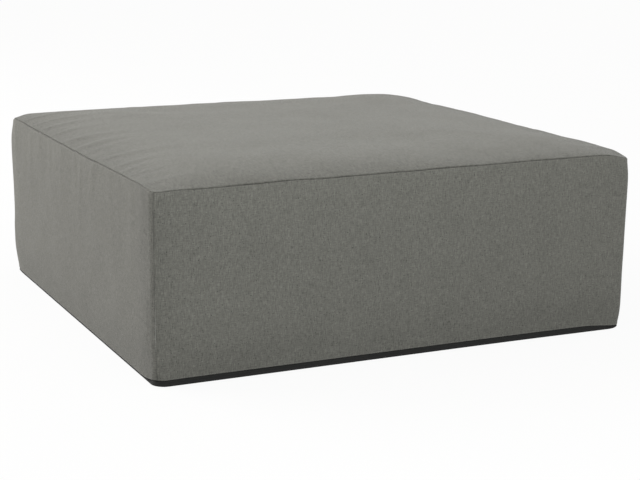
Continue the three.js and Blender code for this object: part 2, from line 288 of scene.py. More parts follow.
@dataclass(frozen=True)
class GripCloth(Finish):
    """Black woven cloth with small raised grip dots."""

    cloth: tuple
    dots: tuple
    dot_pitch: float
    dot_radius: float

    def shade(self, sheet: NodeSheet) -> Inputs:
        """Gives the surface shader's inputs."""
        across, along = sheet.cloth_place()
        row = along / (self.dot_pitch * 0.8660)
        column = across / self.dot_pitch + (row.floor() * 0.5).fraction()
        sideways = (column.fraction() - 0.5) * self.dot_pitch
        upright = (row.fraction() - 0.5) * (self.dot_pitch * 0.8660)
        away = (sideways * sideways + upright * upright) ** 0.5
        dot = (1.0 - (away / self.dot_radius) ** 4.0).most(0.0)
        weave = (across / 0.0005 * math.pi).sine() * (along / 0.0005 * math.pi).sine()
        dust = sheet.noise(sheet.join(across, along, 0.0), 46.0, 4.0, 0.65)
        share = (dot > 0.05) * 0.75 + (dust - 0.45).most(0.0) * 0.9
        colour = sheet.mix(share.least(1.0), self.cloth, self.dots)
        height = dot ** 0.5 + weave * 0.10 * (1.0 - dot) + dust * 0.15
        return {
            "Base Color": colour,
            "Roughness": 0.86 - dot * 0.26 + (dust - 0.5) * 0.12,
            "Specular IOR Level": 0.4,
            "Normal": sheet.bump(height, 0.0004),
        }


@dataclass(frozen=True)
class Foam(Finish):
    """Open-cell foam: fine pores of mixed size, cut through at the surface."""

    pore: tuple
    face: tuple
    cell: float
    relief: float

    def shade(self, sheet: NodeSheet) -> Inputs:
        """Gives the surface shader's inputs."""
        place = sheet.solid_place()
        fine = sheet.cells(place, 1 / self.cell)
        coarse = sheet.cells(place, 0.45 / self.cell)
        walls = (fine * 1.3).least(1.0) * 0.7 + coarse * 0.4
        drift = sheet.noise(place, 9.0, 3.0)
        colour = sheet.mix((walls * 0.8 + drift * 0.35).least(1.0), self.face, self.pore)
        return {
            "Base Color": colour,
            "Roughness": 0.88 + drift * 0.1,
            "Normal": sheet.bump(1.0 - walls, self.relief),
        }


@dataclass(frozen=True)
class FibreWadding(Finish):
    """Lofted fibre: fine crossing hairs over soft lumps."""

    shade_tone: tuple
    lit_tone: tuple
    relief: float

    def shade(self, sheet: NodeSheet) -> Inputs:
        """Gives the surface shader's inputs."""
        place = sheet.solid_place()
        x, y, z = sheet.split(place)
        lumps = sheet.noise(place, 30.0, 2.0)
        hairs = sheet.noise(sheet.join(x * 900.0, y * 90.0 + lumps * 9.0, z * 500.0), 1.0, 3.0, 0.7)
        crossing = sheet.noise(sheet.join(x * 80.0 + lumps * 7.0, y * 1000.0, z * 420.0), 1.0, 3.0, 0.7)
        hair = hairs.most(crossing)
        share = (hair * 1.1 + lumps * 0.3 - 0.3).held()
        return {
            "Base Color": sheet.mix(share, self.shade_tone, self.lit_tone),
            "Roughness": 0.95 - hair * 0.1,
            "Sheen Weight": 0.3,
            "Normal": sheet.bump(hair + lumps, self.relief),
        }


@dataclass(frozen=True)
class Thread(Finish):
    """Twisted sewing thread."""

    dark: tuple
    light: tuple
    twist: float

    def shade(self, sheet: NodeSheet) -> Inputs:
        """Gives the surface shader's inputs."""
        place = sheet.solid_place()
        x, y, z = sheet.split(place)
        strands = ((x + y * 0.9 + z * 1.3) * (2 * math.pi / self.twist)).sine() * 0.5 + 0.5
        fuzz = sheet.noise(place, 3000.0, 2.0)
        # The grooves between the plies, low in the bump too, are painted darker as painted shade.
        colour = sheet.mix((strands * 0.6 + fuzz * 0.5 - 0.05).held(), self.dark, self.light)
        return {
            "Base Color": colour,
            "Roughness": 0.62 + fuzz * 0.2,
            "Sheen Weight": 0.2,
            "Normal": sheet.bump(strands + fuzz * 0.4, 0.00006),
        }


@dataclass(frozen=True)
class Nylon(Finish):
    """Dyed nylon wire, slightly glossy, with drawn lines."""

    dark: tuple
    light: tuple

    def shade(self, sheet: NodeSheet) -> Inputs:
        """Gives the surface shader's inputs."""
        place = sheet.solid_place()
        drift = sheet.noise(place, 220.0, 3.0)
        fine = sheet.noise(place, 4200.0, 2.0)
        return {
            "Base Color": sheet.mix(drift, self.dark, self.light),
            "Roughness": 0.30 + fine * 0.16 + drift * 0.08,
            "Normal": sheet.bump(fine, 0.00001),
        }


@dataclass(frozen=True)
class PaintedMetal(Finish):
    """Cast metal under a thin dark paint that is rubbed in places."""

    paint: tuple
    bare: tuple

    def shade(self, sheet: NodeSheet) -> Inputs:
        """Gives the surface shader's inputs."""
        place = sheet.solid_place()
        x, y, z = sheet.split(place)
        grain = sheet.noise(place, 2600.0, 3.0, 0.7)
        wear = sheet.noise(place, 420.0, 4.0, 0.7)
        scratch = sheet.noise(sheet.join(x * 300.0, y * 300.0, z * 6000.0), 1.0, 1.0)
        rubbed = ((wear - 0.64) * 9.0).held()
        rubbed = (rubbed + ((scratch - 0.70) * 8.0).most(0.0)).least(1.0)
        return {
            "Base Color": sheet.mix(rubbed * 0.7, self.paint, self.bare),
            "Metallic": 0.55 + rubbed * 0.4,
            "Roughness": 0.36 + grain * 0.18 - rubbed * 0.1,
            "Normal": sheet.bump(grain - rubbed * 0.3, 0.00002),
        }


# Shapes


def ramp(share: Array) -> Array:
    """Eases from 0 to 1 as a share does."""
    held = np.clip(share, 0, 1)
    return held**2 * (3 - 2 * held)


class Face(Enum):
    """The four upright faces, anticlockwise from above."""

    FRONT = 0
    RIGHT = 1
    BACK = 2
    LEFT = 3

    @property
    def outward(self) -> Array:
        """Direction out of the face."""
        turn = self.value * math.pi / 2
        return np.array([math.sin(turn), -math.cos(turn), 0.0]).round(9)

    @property
    def along(self) -> Array:
        """Direction along the face, to the right of someone who looks at it."""
        turn = self.value * math.pi / 2
        return np.array([math.cos(turn), math.sin(turn), 0.0]).round(9)


def graded(low: float, high: float, fine: float, coarse: float, reach: float) -> Array:
    """Places lines between two ends, closer together near both.

    Args:
        low: First line.
        high: Last line.
        fine: Spacing at the ends.
        coarse: Spacing in the middle.
        reach: Distance from an end at which the spacing is the coarse one.

    Returns:
        The places of the lines.
    """
    samples = np.linspace(low, high, 4001)
    inward = np.clip(np.minimum(samples - low, high - samples) / reach, 0, 1)
    spacing = fine + (coarse - fine) * inward**2 * (3 - 2 * inward)
    density = 1 / spacing
    total = np.concatenate([[0], np.cumsum((density[1:] + density[:-1]) / 2 * np.diff(samples))])
    count = max(2, math.ceil(total[-1]))
    return np.interp(np.linspace(0, total[-1], count + 1), total, samples)


@dataclass(frozen=True)
class BlockForm:
    """Outer form of the covered block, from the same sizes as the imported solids."""

    half: float
    seam_height: float
    crown_rise: float
    base_height: float
    crown_reach: float = 0.190
    corner_radius: float = 0.018
    base_radius: float = 0.022
    border_radii: tuple[float, float] = (0.026, 0.037)
    side_swell: float = 0.003
    seam_draw: float = 0.0015
    draw_sharpness: float = 4.0
    swell_foot: float = 0.112
    tuck_height: float = 0.060
    tuck_depth: float = 0.002
    cover_sheet: float = 0.002

    @classmethod
    def from_frame(cls) -> "BlockForm":
        """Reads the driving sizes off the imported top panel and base."""
        low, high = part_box("top_panel")
        seam = low.z + cls.cover_sheet
        return cls(high.x, seam, high.z - seam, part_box("base_border")[1].z)

    def tuck(self, z: Array) -> Array:
        """How far the sides stand in at a height, under the tuck."""
        drop = np.clip((self.tuck_height - z) / (self.tuck_height - self.base_height), 0, 1)
        return self.tuck_depth * drop**2

    def swell(self, z: Array, share: Array) -> Array:
        """How far a side stands out at a height and at a share from -1 to 1 of the way along."""
        climb = np.clip((z - self.swell_foot) / (self.seam_height - self.swell_foot), 0, 1)
        bow = 1 - np.clip(np.abs(share), 0, 1) ** 2
        return bow * (self.side_swell * np.sin(np.pi * climb) - self.seam_draw * climb**self.draw_sharpness)

    def radius(self, z: Array, foot: float) -> Array:
        """Corner radius in plan at a height, for one at the foot."""
        tucked = np.clip(self.tuck(z) / self.tuck_depth, 0, 1)
        return self.corner_radius + (foot - self.corner_radius) * tucked

    def border_radius(self, a: Array) -> Array:
        """Radius of the border's corners, of the left pair and of the rounder right pair."""
        return np.where(a < 0, *self.border_radii)

    def crown(self, x: Array, y: Array, half: float) -> Array:
        """Height of the crowned top above its seam."""
        ramps = [1 - np.clip(1 - (half - np.abs(c)) / self.crown_reach, 0, 1) ** 2 for c in (x, y)]
        return self.crown_rise * ramps[0] * ramps[1]

    def inward(self, points: Array) -> Array:
        """Distance of points in from the nearest side."""
        return self.half - np.maximum(np.abs(points[..., 0]), np.abs(points[..., 1]))

    def from_seam(self, points: Array, lift: float = 0.0) -> Array:
        """Distance of points from the top seam, or from a line a lift above it."""
        below = self.seam_height + lift - np.minimum(points[..., 2], self.seam_height)
        return np.hypot(np.clip(self.inward(points), 0, None), below)

    def side(self, face: Face, share: Array, z: Array, setback: float = 0.0) -> Array:
        """Points of an upright face.

        Args:
            face: Which face.
            share: Place along it, from -1 to 1, where 1 is the corner seam.
            z: Heights.
            setback: Distance from the corner seam to the first and last place, along the cloth.

        Returns:
            Points, with the shape of share and a last axis of 3.
        """
        share, z = np.broadcast_arrays(share, z)
        radius = self.radius(z, self.base_radius)
        flat = self.half - self.tuck(z) - radius
        widest = np.sqrt(2) * np.sin(np.pi / 4 - setback / radius)
        place = np.abs(share) * (flat + radius * widest)
        turned = np.clip((place - flat) / radius, 0, 1)
        across = np.sign(share) * (np.minimum(place, flat) + radius * turned / np.sqrt(2))
        out = flat + radius * np.sqrt(1 - turned**2 / 2) + self.swell(z, place / flat)
        level = across[..., None] * face.along + out[..., None] * face.outward
        return level + z[..., None] * np.array([0, 0, 1.0])

    @staticmethod
    def plan(a: Array, b: Array, half: Array | float, radius: Array | float) -> list[Array]:
        """Places points in a square with rounded corners.

        Args:
            a: Place along X, from -1 to 1.
            b: Place along Y, from -1 to 1.
            half: Half the side.
            radius: Radius of the corners, at least 4 mm.

        Returns:
            The points' X and Y.
        """
        radius = np.maximum(radius, 0.004)
        flat = half - radius
        p, q = (np.clip((np.abs(c) * half - flat) / radius, 0, 1) for c in (a, b))
        near = [np.sign(c) * np.minimum(np.abs(c) * half, flat) for c in (a, b)]
        return [
            near[0] + np.sign(a) * radius * p * np.sqrt(1 - q**2 / 2),
            near[1] + np.sign(b) * radius * q * np.sqrt(1 - p**2 / 2),
        ]

    def ring(self, a: Array, b: Array, z: Array | float, inset: Array | float) -> Array:
        """Points round the form at a height and a distance in from its outer face.

        Args:
            a: Place along X, from -1 to 1, with a or b at an end.
            b: Place along Y, from -1 to 1.
            z: Height, or one for each point.
            inset: Distance in from the outer form.

        Returns:
            Points, with the shape of a and a last axis of 3.
        """
        z = np.broadcast_to(z, a.shape)
        radius = self.radius(z, self.border_radius(a)) - inset
        x, y = self.plan(a, b, self.half - self.tuck(z) - inset, radius)
        flat = self.half - self.corner_radius
        out_x = np.sign(a) * (np.abs(a) > 0.9999) * self.swell(z, y / flat)
        out_y = np.sign(b) * (np.abs(b) > 0.9999) * self.swell(z, x / flat)
        return np.stack([x + out_x, y + out_y, z], -1)

    def top(self, a: Array, b: Array, setback: float = 0.0) -> Array:
        """Points of the crowned top.

        Args:
            a: Place along X, from -1 to 1.
            b: Place along Y, from -1 to 1.
            setback: Distance in from the seam to the outermost place.

        Returns:
            Points, with the shape of a and a last axis of 3.
        """
        flat = self.half - self.corner_radius
        x, y = self.plan(a, b, self.half - setback, self.corner_radius - setback)
        z = self.seam_height + self.crown(x, y, self.half)
        drawn = [self.seam_draw * (1 - np.clip(np.abs(c) / flat, 0, 1) ** 2) for c in (y, x)]
        x = x * (1 - drawn[0] * np.abs(x) ** 3 / self.half**4)
        y = y * (1 - drawn[1] * np.abs(y) ** 3 / self.half**4)
        return np.stack([x, y, z], -1)


@dataclass(frozen=True)
class Hem:
    """How one edge of a panel turns in: its radius, its angle in degrees and how much painted shade darkens
    its fold.

    An angle that differs along the edge is given for each line of the grid.
    """

    radius: float
    turn: float | Array
    shade: float = 1.0


def linked(name: str, data: bpy.types.ID) -> Piece:
    """Makes an object of a mesh, lamp or camera, in the scene."""
    made = bpy.data.objects.new(name, data)
    bpy.context.scene.collection.objects.link(made)
    return made


def mesh_piece(name: str, points: Array, faces: Array, flat: Array) -> Piece:
    """Makes a mesh object from points, faces and each point's place on the flat cloth.

    Args:
        name: Name of the piece.
        points: Points, one row each.
        faces: Corners of each face, one row each.
        flat: Place of each point on the flat cloth, in metres.

    Returns:
        The object, in the scene.
    """
    mesh = bpy.data.meshes.new(name)
    mesh.from_pydata(points.tolist(), [], faces.tolist())
    layer = mesh.uv_layers.new(name=CLOTH_MAP)
    corners = np.empty(len(mesh.loops), np.int32)
    mesh.loops.foreach_get("vertex_index", corners)
    layer.uv.foreach_set("vector", flat[corners].astype(np.float32).ravel())
    mesh.shade_smooth()
    return linked(name, mesh)


def grid_faces(rows: int, columns: int, closed: bool = False) -> Array:
    """Faces of a grid whose points run along the columns first, closed round its columns if wanted."""
    wide = columns if closed else columns - 1
    row, column = np.meshgrid(np.arange(rows - 1), np.arange(wide), indexing="ij")
    after = (column + 1) % columns
    near, far = row * columns, (row + 1) * columns
    return np.stack([near + column, near + after, far + after, far + column], -1).reshape(-1, 4)


def band(near: Array, far: Array) -> Array:
    """Faces between two closed rings, given as the numbers of their points."""
    return np.stack([near, far, np.roll(far, -1), np.roll(near, -1)], -1)


def unit(vectors: Array) -> Array:
    """Scales vectors to a length of 1."""
    return vectors / np.maximum(np.linalg.norm(vectors, axis=-1, keepdims=True), 1e-12)


def grid_normals(grid: Array) -> Array:
    """Normals of a grid of points, from the faces round each point."""
    crossed = np.cross(grid[1:, 1:] - grid[:-1, :-1], grid[1:, :-1] - grid[:-1, 1:])
    total = np.zeros_like(grid)
    for rows in (slice(None, -1), slice(1, None)):
        for columns in (slice(None, -1), slice(1, None)):
            total[rows, columns] += crossed
    return unit(total)


def rim_order(rows: int, columns: int) -> tuple[Array, Array]:
    """Walks the rim of a grid anticlockwise.

    Args:
        rows: Rows of the grid.
        columns: Columns of the grid.

    Returns:
        The number of each point on the rim, and the number of the edge that leads on from it, from
        0 at the foot, 1 at the right, 2 at the head and 3 at the left.
    """
    foot = np.arange(columns - 1)
    right = np.arange(rows - 1) * columns + columns - 1
    head = (rows - 1) * columns + np.arange(columns - 1, 0, -1)
    left = np.arange(rows - 1, 0, -1) * columns
    runs = [foot, right, head, left]
    return np.concatenate(runs), np.concatenate([np.full(len(run), side) for side, run in enumerate(runs)])


@dataclass
class Panel:
    """A cut of cloth whose edges turn in to their seams."""

    name: str
    grid: Array
    flat: Array
    hems: tuple[Hem, Hem, Hem, Hem]
    thickness: float
    turn_steps: int = 7
    # Painted shade at each point of the grid, negative for painted highlight.
    tone: Array | float = 0.0

    def build(self) -> Piece:
        """Makes the panel as a closed sheet of its thickness, with its edges turned in."""
        rows, columns = self.grid.shape[:2]
        turned, turned_flat, shaded = self.turns()
        faces = [grid_faces(rows, columns)]
        ring, _ = rim_order(rows, columns)
        for step in range(self.turn_steps):
            after = rows * columns + step * len(ring) + np.arange(len(ring))
            faces.append(band(ring, after))
            ring = after
        points = np.concatenate([self.grid.reshape(-1, 3), turned])
        flat = np.concatenate([self.flat.reshape(-1, 2), turned_flat])
        made = mesh_piece(self.name, points, np.concatenate(faces), flat)
        # The point attribute carries the painted shade and highlight into the cloth's colour.
        fold = made.data.attributes.new(PAINTED_SHADE_AND_LIGHT, "FLOAT", "POINT")
        fold.data.foreach_set("value", np.concatenate([self.ground, shaded]).astype(np.float32))
        thicken(made, self.thickness)
        return made

    @property
    def ground(self) -> Array:
        """How much painted shade darkens the cloth at each point of the grid, negative for painted highlight.
        """
        return np.broadcast_to(self.tone, self.grid.shape[:2]).reshape(-1)

    def hem_values(self, edges: Array, rim: Array) -> tuple[Array, Array]:
        """Radius and angle of the turn at each point of the rim, for the edge given at each."""
        columns = self.grid.shape[1]
        angle = np.empty(len(rim))
        for side, hem in enumerate(self.hems):
            chosen = edges == side
            angle[chosen] = np.broadcast_to(np.radians(hem.turn), columns)[rim[chosen] % columns]
        return np.array([hem.radius for hem in self.hems])[edges], angle

    def turns(self) -> tuple[Array, Array, Array]:
        """Works out the rows of points along which the edges turn in.

        Returns:
            The new points, their places on the flat cloth and the painted shade at each, darkest deep in the
            fold.
        """
        rim, edge_on = rim_order(*self.grid.shape[:2])
        edge_in = np.roll(edge_on, 1)
        here, cloth = self.grid.reshape(-1, 3)[rim], self.flat.reshape(-1, 2)[rim]
        normal = grid_normals(self.grid).reshape(-1, 3)[rim]
        outward, cloth_out, radii, angles = [], [], [], []
        for roll, edges in ((1, edge_in), (-1, edge_on)):
            way = (here - np.roll(here, roll, 0)) * roll
            cloth_way = (cloth - np.roll(cloth, roll, 0)) * roll
            outward.append(unit(np.cross(way, normal)))
            cloth_out.append(unit(np.stack([cloth_way[:, 1], -cloth_way[:, 0]], -1)))
            radius, angle = self.hem_values(edges, rim)
            radii.append(radius)
            angles.append(angle)
        shared = 1 + np.clip((outward[0] * outward[1]).sum(-1), -0.2, 1)
        cloth_shared = 1 + np.clip((cloth_out[0] * cloth_out[1]).sum(-1), -0.2, 1)
        # Each hem's shade is painted shade, strongest deep in its fold.
        shade = np.array([hem.shade for hem in self.hems])
        shade = np.maximum(shade[edge_in], shade[edge_on])
        turned, turned_flat, shaded = [], [], []
        for step in range(1, self.turn_steps + 1):
            gone = step / self.turn_steps
            sideways = sum(o * (r * np.sin(gone * t))[:, None] for o, r, t in zip(outward, radii, angles))
            inward = sum(r * (1 - np.cos(gone * t)) for r, t in zip(radii, angles)) / 2
            travelled = sum(o * (r * gone * t)[:, None] for o, r, t in zip(cloth_out, radii, angles))
            turned.append(here + sideways / shared[:, None] - normal * inward[:, None])
            turned_flat.append(cloth + travelled / cloth_shared[:, None])
            shaded.append(self.ground[rim] * (1 - gone) + shade * gone**2)
        return np.concatenate(turned), np.concatenate(turned_flat), np.concatenate(shaded)


def thicken(piece: Piece, thickness: float) -> None:
    """Gives a sheet its thickness, inwards, and closes its rim."""
    wall = piece.modifiers.new("wall", "SOLIDIFY")
    wall.thickness = thickness
    wall.offset = -1.0
    wall.use_rim = True
    apply_modifiers(piece)


def deselect() -> None:
    """Leaves edit mode and deselects everything."""
    if bpy.context.object is not None and bpy.context.object.mode != "OBJECT":
        bpy.ops.object.mode_set(mode="OBJECT")
    bpy.ops.object.select_all(action="DESELECT")


def pick(piece: Piece) -> None:
    """Makes one piece the only selected and the active one."""
    deselect()
    piece.select_set(True)
    bpy.context.view_layer.objects.active = piece


def apply_modifiers(piece: Piece) -> None:
    """Applies every modifier of a piece."""
    pick(piece)
    for modifier in list(piece.modifiers):
        bpy.ops.object.modifier_apply(modifier=modifier.name)


def dress(piece: Piece, finish: Finish, slot: str, body: str, *nodes: str) -> None:
    """Gives a piece its finish and body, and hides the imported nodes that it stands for."""
    piece.data.materials.clear()
    piece.data.materials.append(finish.material())
    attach(piece, body)
    if nodes:
        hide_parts(*nodes)
    log.info("%s: %d faces", piece.name, len(piece.data.polygons))


def zip_middle() -> float:
    """Height of the zip's middle line, halfway between its tapes."""
    return (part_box("zip_tape_upper")[0].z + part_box("zip_tape_lower")[1].z) / 2


# Lie of the cloth


@dataclass(frozen=True)
class Nudge:
    """How far the cover has settled about one place, and how far round it."""

    centre: Three
    way: Three
    reach: float

    def field(self, points: Array) -> Array:
        """Displacement of each point."""
        apart = np.linalg.norm(points - np.array(self.centre), axis=-1)
        return np.exp(-((apart / self.reach) ** 2))[..., None] * np.array(self.way)


@dataclass(frozen=True)
class SeamWander:
    """A stretch of the top seam that lies high or low, about a place along one face."""

    face: Face
    place: float
    rise: float
    spread: float


@dataclass(frozen=True)
class Waviness:
    """Soft unevenness of the block, as a sum of waves in seeded directions."""

    height: float
    length: float
    seed: int
    waves: int = 14

    def field(self, points: Array) -> Array:
        """Displacement at each point."""
        rng = np.random.default_rng(self.seed)
        total = np.zeros_like(points)
        for axis in range(3):
            way = unit(rng.normal(size=(self.waves, 3)))
            pitch = 2 * np.pi / (self.length * rng.uniform(0.7, 1.6, self.waves))
            phase = rng.uniform(0, 2 * np.pi, self.waves)
            waves = np.sin(points @ (way * pitch[:, None]).T + phase)
            total[..., axis] = waves.sum(-1) * self.height / math.sqrt(self.waves / 2)
        return total


@dataclass(frozen=True)
class Lie:
    """Where the worn cover lies, against the plain form."""

    form: BlockForm
    zip_height: float
    edge_drop: float = 0.0010
    edge_reach: float = 0.016
    seam_reach: float = 0.055
    nudges: tuple[Nudge, ...] = (
        Nudge((-0.495, -0.495, 0.356), (0.0012, 0.0012, -0.0020), 0.026),
        Nudge((-0.495, 0.495, 0.356), (0.0046, -0.0046, -0.0065), 0.030),
        Nudge((-0.440, 0.440, 0.365), (0.0, 0.0, 0.0045), 0.070),
        Nudge((-0.474, 0.478, 0.360), (0.0, 0.0, 0.0034), 0.026),
        Nudge((0.495, -0.495, 0.356), (-0.0022, 0.0022, -0.0084), 0.035),
        Nudge((0.495, 0.495, 0.356), (-0.0020, -0.0020, -0.0020), 0.030),
        Nudge((0.430, 0.430, 0.365), (0.0, 0.0, 0.0045), 0.090),
        Nudge((0.500, -0.500, 0.0), (-0.0034, -0.0044, 0.0), 0.180),
        Nudge((0.500, -0.500, 0.0), (-0.0014, 0.0014, 0.0), 0.050),
        Nudge((-0.500, 0.500, 0.0), (0.0044, -0.0044, 0.0), 0.034),
    )
    wanders: tuple[SeamWander, ...] = (
        SeamWander(Face.FRONT, -0.38, -0.0014, 0.10),
        SeamWander(Face.FRONT, -0.24, 0.0012, 0.06),
        SeamWander(Face.FRONT, 0.10, 0.0018, 0.11),
        SeamWander(Face.FRONT, 0.29, 0.0025, 0.15),
        SeamWander(Face.LEFT, -0.06, -0.0008, 0.16),
        SeamWander(Face.LEFT, 0.16, 0.0012, 0.05),
        SeamWander(Face.LEFT, -0.16, -0.0010, 0.06),
        SeamWander(Face.LEFT, 0.36, -0.0012, 0.05),
        SeamWander(Face.RIGHT, -0.25, 0.0020, 0.14),
        SeamWander(Face.RIGHT, 0.15, 0.0022, 0.14),
        SeamWander(Face.RIGHT, -0.33, 0.0018, 0.05),
        SeamWander(Face.BACK, 0.20, -0.0018, 0.13),
    )
    unevenness: tuple[Waviness, ...] = (Waviness(0.0007, 0.34, 11), Waviness(0.00035, 0.11, 12))

    def field(self, points: Array) -> Array:
        """Displacement of each point of the form."""
        form = self.form
        moved = sum(waviness.field(points) for waviness in self.unevenness)
        settled = np.clip((points[..., 2] - form.base_height) / form.tuck_height, 0, 1)
        moved = moved * (settled * away_from_zip(points, form, self.zip_height))[..., None]
        from_seam = form.from_seam(points)
        moved[..., 2] -= self.edge_drop * np.exp(-from_seam / self.edge_reach)
        near_seam = np.exp(-((from_seam / self.seam_reach) ** 2))
        for wander in self.wanders:
            out = points @ wander.face.outward
            along = points @ wander.face.along
            near_face = np.exp(-(((form.half - out) / self.seam_reach) ** 2))
            bump = np.exp(-(((along - wander.place) / wander.spread) ** 2))
            moved[..., 2] += wander.rise * bump * near_face * near_seam
        return moved + sum(nudge.field(points) for nudge in self.nudges)


def cubic_weights(place: Array, count: int) -> tuple[Array, Array]:
    """Finds the four lines round each place and their weights in a smooth curve through all lines.

    Args:
        place: Places, counted in lines from 0.
        count: How many lines there are.

    Returns:
        Numbers of the four lines and their weights, each with a last axis of 4.
    """
    first = np.clip(np.floor(place).astype(int), 0, count - 2)
    t = np.clip(place - first, 0, 1)
    weights = [
        (-(t**3) + 2 * t**2 - t) / 2,
        (3 * t**3 - 5 * t**2 + 2) / 2,
        (-3 * t**3 + 4 * t**2 + t) / 2,
        (t**3 - t**2) / 2,
    ]
    return np.clip(first[..., None] + np.arange(-1, 3), 0, count - 1), np.stack(weights, -1)


def sample(values: Array, row: Array, column: Array) -> Array:
    """Reads a coarse grid of vectors smoothly at places between its lines."""
    rows, row_weights = cubic_weights(row, values.shape[0])
    columns, column_weights = cubic_weights(column, values.shape[1])
    total = np.zeros((*row.shape, values.shape[-1]))
    for i in range(4):
        for j in range(4):
            weight = row_weights[..., i] * column_weights[..., j]
            total += values[rows[..., i], columns[..., j]] * weight[..., None]
    return total


@dataclass(frozen=True)
class Folds:
    """Folds of the draped cover, as displacements on a coarse grid over its top and its four sides."""

    top: Array
    sides: tuple[Array, ...]
    foot: float
    seam: float

    def on_top(self, a: Array, b: Array) -> Array:
        """Displacement at places on the top."""
        span = (self.top.shape[0] - 1) / 2
        a, b = np.broadcast_arrays(a, b)
        return sample(self.top, (b + 1) * span, (a + 1) * span)

    def on_side(self, face: Face, share: Array, z: Array) -> Array:
        """Displacement at places on one side."""
        values = self.sides[face.value]
        share, z = np.broadcast_arrays(share, z)
        row = (self.seam - z) / (self.seam - self.foot) * (values.shape[0] - 1)
        return sample(values, row, (share + 1) * (values.shape[1] - 1) / 2)


@dataclass(frozen=True)
class Drape:
    """Cloth simulation of the whole cover over its filling, of which the folds are kept."""

    form: BlockForm
    zip_height: float
    lines: int = 65
    rows: int = 23
    frames: int = 18
    pressure: float = 4.0
    slack: float = 0.014
    hold: float = 0.5
    least_hold: float = 0.06
    seam_hold: float = 0.85
    corner_hold: float = 0.9
    hold_reach: float = 0.25
    seam_band: float = 0.006
    corner_band: float = 0.012
    foot_band: float = 0.004
    seam_lift: float = 0.002
    foot: float = 0.016
    broad: float = 0.075
    usual: float = 0.0011
    most: float = 0.0026
    seam_share: float = 0.30
    seam_reach: float = 0.030

    def folds(self) -> Folds:
        span = np.linspace(-1, 1, self.lines)
        a, b = np.meshgrid(span, span)
        head = self.form.top(a, b)
        rim, _ = rim_order(self.lines, self.lines)
        rim_a, rim_b = a.reshape(-1)[rim], b.reshape(-1)[rim]
        levels = np.linspace(self.form.seam_height, self.foot, self.rows + 1)[1:]
        rings = [self.form.ring(rim_a, rim_b, z, 0.0) for z in levels]
        kept = np.zeros((head.reshape(-1, 3).shape[0] + len(rim) * self.rows, 3))
        kept = self.simulate(head, rings)
        top = kept[: self.lines**2].reshape(self.lines, self.lines, 3)
        below = kept[self.lines**2 :].reshape(self.rows, len(rim), 3)
        around = np.concatenate([kept[rim][None], below])
        around = np.concatenate([around, around[:, :1]], 1)
        step = self.lines - 1
        sides = tuple(around[:, face.value * step : (face.value + 1) * step + 1] for face in Face)
        return Folds(top, sides, self.foot, self.form.seam_height)

    def simulate(self, head: Array, rings: list[Array]) -> Array:
        """Runs the cloth and returns each point's fold.

        Args:
            head: Grid of points over the top.
            rings: Rings of points down the sides.

        Returns:
            Displacement of each point, without the broad swelling.
        """
        piece = stacked("cover_drape", head, rings, None)
        before = points_of(piece)
        normals = np.empty(before.size, np.float32)
        piece.data.vertices.foreach_get("normal", normals)
        normals = normals.reshape(-1, 3)
        self.hold_down(piece, before)
        cloth = piece.modifiers.new("drape", "CLOTH")
        self.tune(cloth)
        scene = bpy.context.scene
        for frame in range(1, self.frames + 1):
            scene.frame_set(frame)
        moved = points_of(piece.evaluated_get(bpy.context.evaluated_depsgraph_get())) - before
        scene.frame_set(1)
        bpy.data.objects.remove(piece)
        height = (moved * normals).sum(-1)
        height = height - self.broad_part(before, height)
        height *= self.usual / max(float(np.sqrt((height**2).mean())), 1e-6)
        height = self.most * np.tanh(height / self.most)
        log.info("cover_drape: folds up to %.1f mm", 1000 * float(np.abs(height).max()))
        return normals * (height * self.share(before))[:, None]

    def hold_down(self, piece: Piece, points: Array) -> None:
        """Marks how firmly each point is held, and where the cloth has slack."""
        form = self.form
        from_seam = form.from_seam(points, self.seam_lift)
        at_corner = np.hypot(*(form.half - np.abs(points[:, :2])).T) < self.corner_band
        held = self.hold * np.exp(-((from_seam / self.hold_reach) ** 2)) + self.least_hold
        held = np.where(from_seam < self.seam_band, self.seam_hold, held)
        held = np.where(at_corner & (form.inward(points) < self.seam_lift), self.corner_hold, held)
        held = np.where(points[:, 2] < self.foot + self.foot_band, 1.0, held)
        rng = np.random.default_rng(5)
        loose = ramp(from_seam / self.seam_reach) * (0.75 + 0.25 * rng.random(len(points)))
        for name, values in (("held", held), ("loose", loose)):
            group = piece.vertex_groups.new(name=name)
            for index, value in enumerate(values):
                group.add([index], float(min(value, 1.0)), "REPLACE")

    def tune(self, cloth: bpy.types.Modifier) -> None:
        """Sets the cloth as firm woven fabric over full padding."""
        settings = cloth.settings
        settings.quality = 6
        settings.mass = 0.3
        settings.tension_stiffness = settings.compression_stiffness = 30.0
        settings.shear_stiffness = 8.0
        settings.bending_stiffness = 0.6
        settings.tension_damping = settings.compression_damping = settings.shear_damping = 12.0
        settings.air_damping = 4.0
        settings.use_pressure = True
        settings.uniform_pressure_force = self.pressure
        settings.vertex_group_mass = "held"
        settings.pin_stiffness = 1.0
        settings.vertex_group_shrink = "loose"
        settings.shrink_min = 0.0
        settings.shrink_max = -self.slack
        settings.effector_weights.gravity = 0.0
        cloth.collision_settings.use_collision = False
        cloth.collision_settings.use_self_collision = False

    def broad_part(self, points: Array, height: Array) -> Array:
        """Smooths the heights over a broad reach, to find the swelling that isn't a fold."""
        points = points.astype(np.float32)
        smooth = np.empty(len(points))
        for start in range(0, len(points), 400):
            apart = ((points[start : start + 400, None] - points[None]) ** 2).sum(-1)
            weight = np.exp(-apart / (2 * self.broad**2))
            smooth[start : start + 400] = weight @ height / weight.sum(-1)
        return smooth

    def share(self, points: Array) -> Array:
        """How much of a fold is kept at each point: little in the seams and none at the foot and the zip."""
        form = self.form
        kept = self.seam_share + (1 - self.seam_share) * ramp(form.from_seam(points) / self.seam_reach)
        kept = kept * ramp((points[:, 2] - self.foot) / 0.05)
        return kept * away_from_zip(points, form, self.zip_height)


